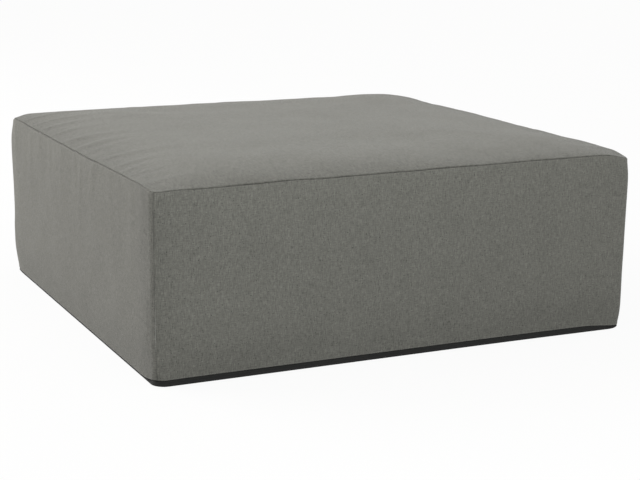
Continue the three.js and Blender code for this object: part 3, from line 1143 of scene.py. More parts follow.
def away_from_zip(points: Array, form: BlockForm, zip_height: float) -> Array:
    """Falls from 1 to 0 towards the zip, where the cover lies flat and straight."""
    upright = ramp((np.abs(points[..., 2] - zip_height) - 0.016) / 0.045)
    inward = ramp((form.half - points[..., 1] - 0.03) / 0.08)
    return np.maximum(upright, inward)


def points_of(piece: Piece) -> Array:
    """Reads the points of a piece."""
    vertices = piece.data.vertices
    places = np.empty(len(vertices) * 3, np.float32)
    vertices.foreach_get("co", places)
    return places.reshape(-1, 3).astype(float)


@dataclass(frozen=True)
class PuckerRow:
    """Short ridges that spring from one stretch of seam and fade into a panel, at seeded places.

    The spacing, length, width and height are means, and each ridge differs from them a little.
    """

    face: Face
    on_top: bool
    first: float
    last: float
    spacing: float
    length: float
    width: float
    height: float
    slant: float
    seed: int

    def field(self, along: Array, inward: Array) -> Array:
        """Height of the ridges.

        Args:
            along: Place along the seam.
            inward: Distance from the seam.

        Returns:
            Height along the normal at each place.
        """
        rng = np.random.default_rng(self.seed)
        total = np.zeros_like(along)
        place = self.first + self.spacing * rng.uniform(0.2, 0.8)
        while place < self.last:
            length = self.length * rng.uniform(0.65, 1.3)
            width = self.width * rng.uniform(0.75, 1.35)
            height = self.height * rng.uniform(0.35, 1.2)
            slant = self.slant + rng.normal(0, 0.10)
            bend = rng.normal(0, 0.5)
            peak = 0.3 * length
            away = (along - place - slant * inward - bend * inward**2) / (width * (1 + inward / length))
            reach = inward / peak * np.exp(1 - inward / peak)
            total += height * reach * (1 - 0.9 * away**2) * np.exp(-(away**2))
            place += self.spacing * rng.uniform(0.65, 1.4)
        return total


@dataclass(frozen=True)
class Puckers:
    """All the puckers that the top seam draws in the cover."""

    rows: tuple[PuckerRow, ...]

    def height(self, points: Array, form: BlockForm, face: Face | None) -> Array:
        """Height of the ridges at points of one side, or of the top for no face."""
        total = np.zeros(points.shape[:-1])
        for row in self.rows:
            along = points @ row.face.along
            if face is None and row.on_top:
                total += row.field(along, np.clip(form.half - points @ row.face.outward, 0, None))
            if face is row.face and not row.on_top:
                total += row.field(along, np.clip(form.seam_height - points[..., 2], 0, None))
        return total


@dataclass(frozen=True)
class HemLine:
    """Where the cover's lower edge hangs round the foot: a height for each face and each corner."""

    half: float
    faces: tuple[float, ...] = (0.0124, 0.0056, 0.0120, 0.0036)
    corners: tuple[float, ...] = (0.0120, 0.0062, 0.0120, 0.0110)
    eases: tuple[float, ...] = (0.070, 0.100, 0.038, 0.038)

    def height(self, face: Face, along: Array) -> Array:
        """Height of the edge at places along a face."""
        corner = (face.value + (along > 0)) % 4
        height, ease = (np.array(values)[corner] for values in (self.corners, self.eases))
        share = ramp((self.half - np.abs(along)) / ease)
        return height + (self.faces[face.value] - height) * share

    def overhang(self, ring: Array, edges: Array) -> Array:
        """How fully the edge hangs over the border, from 0 to 1, at points of a ring on numbered edges."""
        heights = np.select([edges == f.value for f in Face], [self.height(f, ring @ f.along) for f in Face])
        return ramp((0.0110 - heights) / 0.0050)


@dataclass(frozen=True)
class PaintedShading:
    """Painted shade that softly darkens the cover's cloth near its top seam, at its foot and by the
    front-left corner, and painted highlight that pales it under the top seam and by the back-left corner.

    Each spot is a place in plan with the painted shade about it, negative for painted highlight, and its
    reach.
    """

    top_seam: float = 0.23
    top_reach: float = 0.058
    under_seam: float = 0.12
    under_reach: float = 0.050
    foot: float = 0.12
    foot_reach: float = 0.100
    spots: tuple[Four, ...] = (
        (-0.500, -0.500, 0.09, 0.050),
        (-0.500, -0.458, 0.17, 0.034),
        (-0.500, 0.465, -0.11, 0.035),
    )

    def on_top(self, points: Array, form: BlockForm) -> Array:
        """Painted shade at points of the top."""
        return self.top_seam * np.exp(-((form.inward(points) / self.top_reach) ** 2))

    def on_side(self, points: Array, form: BlockForm) -> Array:
        """Painted shade at points of a side, with painted highlight as negative values."""
        dark = self.foot * np.exp(-((points[..., 2] / self.foot_reach) ** 2))
        for x, y, depth, reach in self.spots:
            dark += depth * np.exp(-((points[..., 0] - x) ** 2 + (points[..., 1] - y) ** 2) / reach**2)
        return dark - self.under_seam * np.exp((points[..., 2] - form.seam_height) / self.under_reach)


@dataclass
class Cover:
    """The sewn cover: a crowned top, three plain sides and a back in two cuts with the zip between them."""

    form: BlockForm
    lie: Lie
    folds: Folds
    puckers: Puckers
    hem_line: HemLine
    painted_shading: PaintedShading
    fabric: Finish
    thickness: float = 0.0008
    seam_turn: float = 0.0020
    corner_turn: float = 0.0009
    foot_turn: float = 0.0013
    slot_turn: float = 0.0011
    seam_angle: float = 122.0
    corner_angle: float = 88.0
    foot_angle: float = 165.0
    slot_angle: float = 160.0
    closed_angle: float = 96.0
    fine: float = 0.0024
    coarse: float = 0.0070
    grade_reach: float = 0.090
    seam_gap: float = 0.00025
    slot_half: float = 0.4540
    slot_open: float = 0.0058
    slot_ease: float = 0.0065

    def build(self) -> None:
        """Makes and dresses every panel."""
        self.top_panel()
        half = self.form.half
        columns = graded(-half, half, self.fine, self.coarse, self.grade_reach)
        head = np.full_like(columns, self.head)
        for face in (Face.FRONT, Face.RIGHT, Face.LEFT):
            self.cut(face, face.name.lower() + "_panel", columns, self.foot(face, columns), head)
        self.back_panels()

    @property
    def setback(self) -> float:
        """Distance from the top seam to where the cloth starts to turn in."""
        opening = math.radians(180 - self.seam_angle)
        return self.seam_turn / math.tan(opening / 2) + self.seam_gap

    @property
    def head(self) -> float:
        """Height at which the sides start to turn in to the top seam."""
        return self.form.seam_height - self.setback

    def foot(self, face: Face, columns: Array) -> Array:
        """Height at which a side starts to turn in at its foot."""
        return self.hem_line.height(face, columns) + self.foot_turn

    def top_panel(self) -> None:
        """Makes the crowned top panel."""
        half = self.form.half - self.setback
        lines = graded(-half, half, self.fine, self.coarse, self.grade_reach) / half
        a, b = np.meshgrid(lines, lines)
        base = self.form.top(a, b, self.setback)
        grid = self.laid(base, self.folds.on_top(a, b), None)
        # The hem's default shade of 1 is painted shade deep in the top seam's fold.
        hem = Hem(self.seam_turn, self.seam_angle)
        # Painted shade near the top seam.
        tone = self.painted_shading.on_top(base, self.form)
        made = Panel("top_panel_cloth", grid, base[..., :2], (hem,) * 4, self.thickness, tone=tone).build()
        self.finish(made, (2 * self.form.half, 2 * self.form.half), "top_panel")

    def laid(self, base: Array, folds: Array, face: Face | None) -> Array:
        """Lays the points of a panel as the cloth lies, with its folds and puckers."""
        ridges = self.puckers.height(base, self.form, face)[..., None] * grid_normals(base)
        return base + self.lie.field(base) + folds + ridges

    def back_panels(self) -> None:
        """Makes the two cuts of the back, open over the zip and sewn together beyond it."""
        half = self.form.half
        middle = zip_middle()
        stretches = ((-half, -self.slot_half), (-self.slot_half, self.slot_half), (self.slot_half, half))
        lines = [graded(*ends, self.fine / 2, self.coarse, self.grade_reach / 2) for ends in stretches]
        columns = np.unique(np.concatenate(lines).round(7))
        open_share = ramp((self.slot_half - np.abs(columns)) / self.slot_ease)
        closed = self.slot_turn + self.seam_gap
        edge = closed + (self.slot_open + self.slot_turn - closed) * open_share
        turn = self.closed_angle + (self.slot_angle - self.closed_angle) * open_share
        # These carry the same painted shade into the folds of the zip's slot.
        upper_foot = Hem(self.slot_turn, turn, self.foot_hem.shade)
        lower_head = Hem(self.slot_turn, turn, self.seam_hem.shade)
        high, low = np.full_like(edge, self.head), self.foot(Face.BACK, columns)
        self.cut(Face.BACK, "back_panel_upper", columns, middle + edge, high, foot_hem=upper_foot)
        self.cut(Face.BACK, "back_panel_lower", columns, low, middle - edge, head_hem=lower_head)

    @property
    def foot_hem(self) -> Hem:
        """The plain hem at the foot of a side."""
        # The 0.3 is painted shade in the hem's fold.
        return Hem(self.foot_turn, self.foot_angle, 0.3)

    @property
    def seam_hem(self) -> Hem:
        """The turn of a side into the top seam."""
        # The 0.6 is painted shade in the seam's fold.
        return Hem(self.seam_turn, self.seam_angle, 0.6)

    def cut(
        self,
        face: Face,
        name: str,
        columns: Array,
        low: Array,
        high: Array,
        foot_hem: Hem | None = None,
        head_hem: Hem | None = None,
    ) -> None:
        """Makes one cut of a side.

        Args:
            face: The face that it lies on.
            name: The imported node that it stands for.
            columns: Places of its upright lines.
            low: Height of its lower edge on each line.
            high: Height of its upper edge on each line.
            foot_hem: Turn of the lower edge, or nothing for a plain foot.
            head_hem: Turn of the upper edge, or nothing for the top seam.
        """
        rows = graded(0.0, float(high.max() - low.min()), self.fine, self.coarse, self.grade_reach)
        z = low[None] + (high - low)[None] * (rows / rows[-1])[:, None]
        places = np.broadcast_to(columns / self.form.half, z.shape)
        base = self.form.side(face, places, z, self.corner_turn + self.seam_gap)
        grid = self.laid(base, self.folds.on_side(face, places, z), face)
        flat = np.stack([base @ face.along, z], -1)
        # The 0.3 is painted shade in the corner seam's fold.
        corner = Hem(self.corner_turn, self.corner_angle, 0.3)
        hems = (foot_hem or self.foot_hem, corner, head_hem or self.seam_hem, corner)
        # Painted shade near the foot and the left corners, and painted highlight under the top seam.
        tone = self.painted_shading.on_side(base, self.form)
        made = Panel(name + "_cloth", grid, flat, hems, self.thickness, tone=tone).build()
        self.finish(made, (2 * self.form.half, float((high - low).mean()) + 0.004), name)

    def finish(self, made: Piece, flat: tuple[float, float], node: str) -> None:
        dress(made, self.fabric, "outdoor_fabric", BODY, node)


def stacked(name: str, head: Array, courses: Sequence[Array], foot: Array | None) -> Piece:
    """Joins a square grid, the rings under its rim and a last grid, in one skin.

    Args:
        name: Name of the piece.
        head: Square grid of points, seen from outside.
        courses: Rings of points, in the order of the head's rim.
        foot: Square grid that ends the skin, as seen through from the head, or nothing for an open end.

    Returns:
        The object, in the scene.
    """
    count = head.shape[0]
    rim, edge = rim_order(count, count)
    points, faces = [head.reshape(-1, 3)], [grid_faces(count, count)]
    outward = np.array([[0, -1.0], [1, 0], [0, 1], [-1, 0]])[edge]
    flat = [head.reshape(-1, 3)[:, :2]]
    cloth, last = flat[0][rim], points[0][rim]
    ring, start = rim, count * count
    for course in courses:
        after = start + np.arange(len(rim))
        faces.append(band(ring, after))
        points.append(course)
        cloth = cloth + outward * np.linalg.norm(course - last, axis=-1)[:, None]
        flat.append(cloth)
        ring, last, start = after, course, start + len(rim)
    if foot is not None:
        faces += [band(ring, start + rim), start + grid_faces(count, count)[:, ::-1]]
        points.append(foot.reshape(-1, 3))
        flat.append(foot.reshape(-1, 3)[:, :2])
    return mesh_piece(name, np.concatenate(points), np.concatenate(faces), np.concatenate(flat))


@dataclass(frozen=True)
class ZipDent:
    """The hollow that the zip presses in the liner and the wadding behind it."""

    height: float
    depth: float = 0.0030
    half_height: float = 0.0185
    half_length: float = 0.4660
    ease: float = 0.016

    def field(self, points: Array, form: BlockForm) -> Array:
        """Displacement of each point."""
        moved = np.zeros_like(points)
        upright = ramp((self.half_height + self.ease - np.abs(points[..., 2] - self.height)) / self.ease)
        sideways = ramp((self.half_length + self.ease - np.abs(points[..., 0])) / self.ease)
        at_back = ramp((points[..., 1] - form.half + 2 * self.ease) / self.ease)
        moved[..., 1] = -self.depth * upright * sideways * at_back
        return moved


@dataclass(frozen=True)
class Layer:
    """One layer of foam: its heights, with nothing for the crown's, and the radii of its edges."""

    node: str
    slot: str
    finish: Finish
    low: float
    high: float | None
    low_edge: float
    high_edge: float


@dataclass(frozen=True)
class Filling:
    """What the cover holds: an inner bag, a fibre wrap and the foam block's layers."""

    form: BlockForm
    lie: Lie
    dent: ZipDent
    bag: Finish
    wrap: Finish
    soft: Finish
    firm: Finish
    lines: int = 72
    turn_steps: int = 5
    wall_steps: int = 14
    bag_inset: float = 0.0026
    bag_sheet: float = 0.0006
    wrap_inset: float = 0.0038
    wrap_side: float = 0.0076
    foam_inset: float = 0.0120
    foam_drop: float = 0.0160
    join: float = 0.00015
    flare: float = 0.9
    foot_draw: float = 0.0038
    foot_bend: float = 0.024

    def build(self) -> None:
        """Makes and dresses every layer, from the outside in."""
        self.inner_bag()
        self.bag_floor()
        self.fibre_wrap()
        upper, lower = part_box("core_foam_upper"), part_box("core_foam_lower")
        soft_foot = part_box("comfort_foam")[0].z
        layers = (
            Layer("comfort_foam", "comfort_foam", self.soft, soft_foot, None, 0.0012, 0.012),
            Layer("core_foam_upper", "core_foam", self.firm, upper[0].z, upper[1].z, 0.0012, 0.0012),
            Layer("core_foam_lower", "core_foam", self.firm, lower[0].z, lower[1].z, 0.006, 0.0012),
        )
        for layer in layers:
            self.foam_layer(layer)

    @property
    def places(self) -> tuple[Array, Array]:
        """Places of the grid's points along X and Y, closer together near the rim."""
        even = np.linspace(-1, 1, self.lines)
        eased = even * (1 + self.flare * (1 - even**2) / 2)
        return tuple(np.meshgrid(eased, eased))

    def sheet_at(self, inset: float, drop: float, height: float | None = None) -> Array:
        """Grid of points a drop under the crown or at a height, whose rim lies in from the outer form."""
        form = self.form
        x, y = form.plan(*self.places, form.half - inset, form.corner_radius - inset)
        crowned = form.seam_height + form.crown(x, y, form.half) - drop
        return np.stack([x, y, crowned if height is None else np.full_like(x, height)], -1)

    def rings(self, head: Array, foot_z: float, inset: float, head_edge: float, foot_edge: float) -> list:
        """Rings that turn over the upper edge, run down the sides and turn under at the foot.

        Args:
            head: Grid that they start from.
            foot_z: Height that they end at.
            inset: Distance of the sides from the outer form.
            head_edge: Radius of the upper edge.
            foot_edge: Radius of the lower edge, or 0 for an open end.

        Returns:
            The rings, without one at the foot's own rim.
        """
        rim, _ = rim_order(self.lines, self.lines)
        a, b = (c.reshape(-1)[rim] for c in self.places)
        start = head.reshape(-1, 3)[rim][:, 2]
        turns = np.radians(np.linspace(0, 90, self.turn_steps + 1))
        courses = [(start - head_edge * (1 - math.cos(t)), head_edge * (1 - math.sin(t))) for t in turns[1:]]
        high, low = start - head_edge, foot_z + foot_edge
        upper = max(low, self.foot_bend)
        wall = np.linspace(0, 1, self.wall_steps + 1)[1:]
        courses += [(high + (upper - high) * share, 0.0) for share in wall]
        courses += [(upper + (low - upper) * share, 0.0) for share in (0.4, 0.7, 1.0) if low < upper]
        for t in turns[1:-1] if foot_edge else ():
            courses.append((foot_z + foot_edge * (1 - math.sin(t)), foot_edge * (1 - math.cos(t))))
        made = []
        for z, away in courses:
            drawn = self.foot_draw * ramp((self.foot_bend - z) / 0.008)
            made.append(self.form.ring(a, b, z, inset + away + drawn))
        return made

    def settle(self, piece: Piece, dented: bool) -> None:
        """Lays a piece as the cover over it lies."""
        points = points_of(piece)
        moved = self.lie.field(points)
        if dented:
            moved = moved + self.dent.field(points, self.form)
        piece.data.vertices.foreach_set("co", (points + moved).astype(np.float32).ravel())
        piece.data.update()

    def inner_bag(self) -> None:
        """Makes the showerproof bag's top and sides."""
        edge = 0.010
        head = self.sheet_at(self.bag_inset + edge, self.bag_inset)
        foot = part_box("liner_shell")[0].z
        made = stacked("liner_shell_cloth", head, self.rings(head, foot, self.bag_inset, edge, 0.0), None)
        self.settle(made, True)
        thicken(made, self.bag_sheet)
        dress(made, self.bag, "liner_cloth", BODY, "liner_shell")

    def bag_floor(self) -> None:
        """Makes the flat base of the bag, with its rim turned up inside the sides."""
        low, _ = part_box("liner_base")
        half = self.form.half - self.form.tuck_depth - self.bag_inset - 0.0062
        a, b = self.places
        x, y = self.form.plan(-a, b, half, self.form.border_radius(-a) - self.bag_inset)
        grid = np.stack([x, y, np.full_like(x, low.z + 0.0001)], -1)
        # Its default shade paints shade into the turned rim's fold.
        hem = Hem(0.0008, 90.0)
        made = Panel("liner_base_cloth", grid, grid[..., :2], (hem,) * 4, self.bag_sheet, 4).build()
        dress(made, self.bag, "liner_cloth", BODY, "liner_base")

    def fibre_wrap(self) -> None:
        """Makes the fibre wrap, a thick hood over the foam that is open below."""
        edge, inner_edge = 0.012, 0.010
        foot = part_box("wadding_wrap")[0].z
        head = self.sheet_at(self.wrap_inset + edge, self.wrap_inset)
        inner_inset = self.wrap_inset + self.wrap_side
        inner = self.sheet_at(inner_inset + inner_edge, self.foam_drop - self.join)
        outer_rings = self.rings(head, foot, self.wrap_inset, edge, self.wrap_side / 2)
        inner_rings = self.rings(inner, foot, inner_inset, inner_edge, 0.0)
        made = stacked("wadding_wrap_fibre", head, outer_rings + inner_rings[::-1], inner)
        self.settle(made, False)
        self.press(made)
        dress(made, self.wrap, "wadding", BODY, "wadding_wrap")

    def press(self, piece: Piece) -> None:
        """Presses only the outer face of the wrap in behind the zip."""
        for vertex in piece.data.vertices:
            if vertex.co.y > self.form.half - self.wrap_inset - self.wrap_side / 2:
                vertex.co += Vector(self.dent.field(np.array(vertex.co), self.form))

    def foam_layer(self, layer: Layer) -> None:
        """Makes one cut layer of foam."""
        head = self.sheet_at(self.foam_inset + layer.high_edge, self.foam_drop, layer.high)
        foot = self.sheet_at(self.foam_inset + layer.low_edge, 0.0, layer.low)
        rings = self.rings(head, layer.low, self.foam_inset, layer.high_edge, layer.low_edge)
        made = stacked(layer.node + "_block", head, rings, foot)
        self.settle(made, False)
        dress(made, layer.finish, layer.slot, BODY, layer.node)


@dataclass(frozen=True)
class Base:
    """The black base: a border strip round the foot and a non-slip floor cloth."""

    form: BlockForm
    hem_line: HemLine
    border_cloth: Finish
    floor_cloth: Finish
    lines: int = 121
    sheet: float = 0.0009
    seam_inset: float = 0.0049
    pressed_in: float = 0.0042
    floor_turn: float = 0.0011
    floor_lift: float = 0.0002
    waviness: Waviness = Waviness(0.00035, 0.16, 31)
    drifts: tuple[Nudge, ...] = (
        Nudge((0.500, -0.500, 0.0), (0.0005, -0.0050, 0.0), 0.200),
        Nudge((-0.500, 0.500, 0.0), (0.0044, -0.0044, 0.0), 0.034),
    )

    PROFILE = (
        (0.0040, 0.0146), (0.0032, 0.0132), (0.0020, 0.0121), (0.0011, 0.0111), (0.0003, 0.0099),
        (0.0001, 0.0086), (0.0004, 0.0075), (0.0009, 0.0067), (0.0005, 0.0059), (0.0000, 0.0048),
        (-0.0003, 0.0036), (-0.0003, 0.0024), (0.0000, 0.0014), (0.0006, 0.0007), (0.0016, 0.0003),
        (0.0027, 0.0003), (0.0037, 0.0006), (0.0041, 0.0014), (0.0041, 0.0024),
    )

    def build(self) -> None:
        """Makes and dresses the border and the floor cloth."""
        self.border()
        self.floor_panel()

    def border(self) -> None:
        """Makes the border strip, with its crease and its turned-in edges."""
        even = np.linspace(-1, 1, self.lines)
        rim, edges = rim_order(self.lines, self.lines)
        a, b = (c.reshape(-1)[rim] for c in np.meshgrid(even, even))
        hung = self.hem_line.overhang(self.form.ring(a, b, 0.0, 0.0), edges) * self.pressed_in
        pressed = [(inset + hung * ramp((z - 0.002) / 0.003), z) for inset, z in self.PROFILE]
        rings = [self.form.ring(a, b, z, inset) for inset, z in pressed]
        wander = self.waviness.field(rings[0]) * (1, 1, 0)
        shares = [min(1.0, max(0.0, (z - 0.003) / 0.006)) for _, z in self.PROFILE]
        grid = np.stack([ring + wander * share for ring, share in zip(rings, shares)][::-1])
        grid += sum(drift.field(grid) for drift in self.drifts)
        steps = np.linalg.norm(np.diff(grid, axis=0), axis=-1).mean(-1)
        round_it = np.linalg.norm(np.diff(grid[6], axis=0), axis=-1)
        around = np.concatenate([[0], np.cumsum(round_it)])
        along, up = np.meshgrid(around, np.concatenate([[0], np.cumsum(steps)]))
        flat = np.stack([along, up], -1)
        faces = grid_faces(len(grid), len(a), closed=True)
        made = mesh_piece("base_border_cloth", grid.reshape(-1, 3), faces, flat.reshape(-1, 2))
        thicken(made, self.sheet)
        dress(made, self.border_cloth, "base_cloth", BODY, "base_border")

    def floor_panel(self) -> None:
        """Makes the floor cloth, with its rim turned up into the seam."""
        form = self.form
        half = form.half - form.tuck_depth - self.seam_inset - self.floor_turn
        even = np.linspace(-1, 1, self.lines)
        a, b = np.meshgrid(-even, even)
        x, y = form.plan(a, b, half, form.border_radius(a) - self.seam_inset)
        z = self.floor_lift * (1 + np.sin(x * 41 + 2 * np.sin(y * 17)) * np.sin(y * 37)) + 0.00002
        grid = np.stack([x, y, z], -1)
        grid += sum(drift.field(grid) for drift in self.drifts)
        hem = Hem(self.floor_turn, 100.0)
        made = Panel("base_panel_cloth", grid, grid[..., :2], (hem,) * 4, self.sheet, 5).build()
        dress(made, self.floor_cloth, "base_cloth", BODY, "base_panel")


# Rigid pieces

Test = Callable[[Vector, Vector], bool]
PARTS = ("vertices", "edges", "polygons")
FACING = 0.8
SHARP = math.radians(40.0)


class Bench:
    """One rigid piece, shaped on the bench with Blender's own modelling tools."""

    def __init__(self, name: str) -> None:
        """Takes up the primitive that has just been added, with its place in its mesh."""
        self.piece = bpy.context.object
        self.piece.name = self.piece.data.name = name
        bpy.ops.object.transform_apply(location=True, rotation=True, scale=True)

    @classmethod
    def block(cls, name: str, low: Place, high: Place, about: Place) -> "Bench":
        """Starts from a block between two corners, given from a point."""
        low, high = Vector(about) + Vector(low), Vector(about) + Vector(high)
        deselect()
        bpy.ops.mesh.primitive_cube_add(size=1.0, location=(low + high) / 2, scale=high - low)
        return cls(name)

    def select(self, kind: str, wanted: Callable[..., bool]) -> "Bench":
        """Selects the wanted parts of one kind, in edit mode."""
        self.leave()
        for each in PARTS:
            for part in getattr(self.piece.data, each):
                part.select = each == kind and wanted(part)
        bpy.context.tool_settings.mesh_select_mode = [each == kind for each in PARTS]
        bpy.ops.object.mode_set(mode="EDIT")
        return self

    def points(self, test: Callable[[Vector], bool]) -> "Bench":
        """Selects the points that pass a test."""
        return self.select("vertices", lambda point: test(point.co))

    def edges(self, test: Test) -> "Bench":
        """Selects the edges whose middle and direction pass a test."""

        def wanted(edge: bpy.types.MeshEdge) -> bool:
            """Tells whether an edge passes."""
            first, second = (self.piece.data.vertices[i].co for i in edge.vertices)
            return test((first + second) / 2, (second - first).normalized())

        return self.select("edges", wanted)

    def faces(self, test: Test) -> "Bench":
        """Selects the faces whose centre and normal pass a test."""
        return self.select("polygons", lambda face: test(face.center, face.normal))

    def leave(self) -> None:
        """Goes back to object mode with this piece active."""
        pick(self.piece)

    def cut(self, place: Place, normal: Place) -> None:
        """Cuts the whole piece through by a plane, and keeps both sides."""
        self.faces(lambda centre, way: True)
        bpy.ops.mesh.bisect(plane_co=place, plane_no=normal)

    def move(self, way: Place) -> None:
        """Moves what is selected."""
        bpy.ops.transform.translate(value=way)

    def extrude(self, way: Place) -> None:
        """Extrudes the selected faces along a way."""
        bpy.ops.mesh.extrude_region_move(TRANSFORM_OT_translate={"value": tuple(way)})

    def inset(self, thickness: float, depth: float) -> None:
        """Insets the selected faces, and sinks them by a negative depth."""
        bpy.ops.mesh.inset(thickness=thickness, depth=depth)

    def round_off(self, reach: float, steps: int) -> None:
        """Bevels what is selected."""
        bpy.ops.mesh.bevel(offset=reach, segments=steps, affect="EDGES")

    def scale(self, factors: Place, centre: Place) -> None:
        """Scales what is selected about a centre."""
        bpy.ops.transform.resize(value=factors, center_override=centre)

    def soften(self, reach: float) -> None:
        """Bevels every sharp edge and shades the rest smooth."""
        self.leave()
        rounding = self.piece.modifiers.new("rounding", "BEVEL")
        rounding.width = reach
        rounding.segments = 2
        rounding.limit_method = "ANGLE"
        rounding.angle_limit = SHARP
        rounding.use_clamp_overlap = True
        apply_modifiers(self.piece)
        bpy.ops.object.shade_smooth_by_angle(angle=SHARP)

    def absorb(self, *others: "Bench") -> None:
        """Joins other pieces to this one."""
        self.leave()
        for other in others:
            other.piece.select_set(True)
        bpy.context.view_layer.objects.active = self.piece
        bpy.ops.object.join()


def repeated(piece: Piece, offsets: Array, ways: Array | None = None) -> None:
    """Replaces a piece's mesh by copies of it.

    Args:
        piece: The piece, modelled about the origin.
        offsets: Place of each copy, one row each.
        ways: Turn of each copy as a matrix, one each, or nothing to leave them unturned.
    """
    mesh, points = piece.data, points_of(piece)
    faces = [list(face.vertices) for face in mesh.polygons]
    turned = points[None] if ways is None else np.einsum("kij,pj->kpi", ways, points)
    placed = (turned + offsets[:, None]).reshape(-1, 3)
    step = len(points)
    copies = [[corner + k * step for corner in face] for k in range(len(offsets)) for face in faces]
    made = bpy.data.meshes.new(mesh.name)
    made.from_pydata(placed.tolist(), [], copies)
    made.shade_smooth()
    piece.data = made
    bpy.data.meshes.remove(mesh)


@dataclass(frozen=True)
class Zip:
    """The zip along the back: tapes, coils, stops, slider and pull, in the places of their solids."""

    tape: Finish
    nylon: Finish
    metal: Finish
    thread: Finish
    tooth_pitch: float = 0.0015
    wire: float = 0.00033
    head_past: float = 0.00022
    tape_sheet: float = 0.0006
    face_past: float = 0.0023
    pin_past: float = 0.0024
    edge: float = 0.00022
    crimp_half: float = 0.0012
    flange_at: float = 0.0033
    slider_half: float = 0.006
    slider_side: float = 0.0046
    pull_half: float = 0.0007
    pull_edge: float = 0.00018

    @property
    def face(self) -> float:
        """Place of the cover's outer face along Y."""
        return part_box("zip_tape_upper")[1].y + self.face_past

    def seat(self, past: float) -> Vector:
        """Place at the middle of the slider at rest, past the cover's outer face by a distance."""
        low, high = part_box("zip_slider")
        return Vector(((low.x + high.x) / 2, self.face + past, zip_middle()))

    def build(self) -> None:
        """Makes and dresses every piece."""
        for side, name in ((1, "upper"), (-1, "lower")):
            self.woven_tape(side, name)
            self.coil(side, name)
        for name in ("right", "left"):
            self.stop(name)
        self.slider()
        self.pull()

    def woven_tape(self, side: int, name: str) -> None:
        """Makes one tape: flat cloth with a beaded inner edge."""
        node = "zip_tape_" + name
        low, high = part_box(node)
        inner, outer = (low.z, high.z) if side > 0 else (high.z, low.z)
        x = np.linspace(low.x, high.x, 301)
        z = inner + (outer - inner) * np.array([0, 0.03, 0.07, 0.14, 0.22, 0.30, 0.42, 0.58, 0.76, 0.90, 1.0])
        along, up = np.meshgrid(x[::-1], z if side > 0 else z[::-1])
        from_inner = np.abs(up - inner)
        ribs = 0.00010 * (1 - np.cos(from_inner * 2600)) * (from_inner > 0.003)
        y = high.y - 0.00002 + (-0.00015 * ramp(1 - from_inner / 0.0008) - ribs)
        grid = np.stack([along, y, up], -1)
        flat = np.stack([-along, up], -1)
        faces = grid_faces(*grid.shape[:2])
        made = mesh_piece(node + "_cloth", grid.reshape(-1, 3), faces, flat.reshape(-1, 2))
        thicken(made, self.tape_sheet)
        dress(made, self.tape, "zip_tape", BODY, node)

    def coil(self, side: int, name: str) -> None:
        """Makes one coil: a flattened loop for each tooth, repeated along it, with its sewing thread."""
        node = "zip_coil_" + name
        low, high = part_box(node)
        middle_y, half_y = (low.y + high.y) / 2, (high.y - low.y) / 2
        head = zip_middle() - side * self.head_past
        root = high.z if side > 0 else low.z
        middle_z, half_z = (head + root) / 2, abs(root - head) / 2
        ring = half_y - self.wire
        deselect()
        bpy.ops.mesh.primitive_torus_add(
            major_radius=ring,
            minor_radius=self.wire,
            major_segments=12,
            minor_segments=5,
            rotation=(0, math.pi / 2, 0),
        )
        bench = Bench(node + "_teeth")
        reach = half_z - half_y
        for way in (1, -1):
            bench.points(lambda co: co.z * way > ring * 0.2).move((0, 0, way * reach))
            bench.points(lambda co: co.y * way > ring * 0.3).move((way * self.tooth_pitch * 0.13, 0, 0))
        bench.leave()
        count = int((high.x - low.x) / self.tooth_pitch) - 1
        stagger = self.tooth_pitch / 2 if side > 0 else 0.0
        x = (np.arange(count) - (count - 1) / 2) * self.tooth_pitch + stagger - self.tooth_pitch / 4
        repeated(bench.piece, np.stack([x, np.full_like(x, middle_y), np.full_like(x, middle_z)], -1))
        dress(bench.piece, self.nylon, "zip_nylon", BODY, node)
        self.sewing(side, node, x, high.y)

    def sewing(self, side: int, node: str, teeth: Array, front: float) -> None:
        """Makes the thread that holds a coil to its tape, one stitch over each tooth."""
        bench = stitch_bench(node + "_thread", self.tooth_pitch * 0.62, 0.00016)
        x = teeth + self.tooth_pitch / 2
        z = np.full_like(x, zip_middle() + side * 0.0022)
        tilt = Matrix.Rotation(side * math.radians(14), 3, "Y")
        ways = np.broadcast_to(np.array(tilt), (len(x), 3, 3))
        repeated(bench.piece, np.stack([x, np.full_like(x, front - 0.00005), z], -1), ways)
        dress(bench.piece, self.thread, "zip_tape", BODY)

    def stop(self, name: str) -> None:
        """Makes one end stop: a crimped bridge over both tapes."""
        node = "zip_stop_" + name
        low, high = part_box(node)
        bench = Bench.block(node + "_crimp", low, high, (0, 0, 0))
        middle = (low + high) / 2
        bench.cut(middle, (0, 0, 1))
        for place in (middle.x - self.crimp_half, middle.x + self.crimp_half):
            bench.cut((place, 0, 0), (1, 0, 0))
        bench.points(lambda co: abs(co.z - middle.z) < 1e-5 and co.y > middle.y).move((0, -0.00035, 0))
        bench.faces(lambda centre, way: way.y > FACING and abs(centre.x - middle.x) < self.crimp_half)
        bench.inset(0.00035, -0.0002)
        bench.soften(self.edge)
        dress(bench.piece, self.metal, "zip_metal", BODY, node)

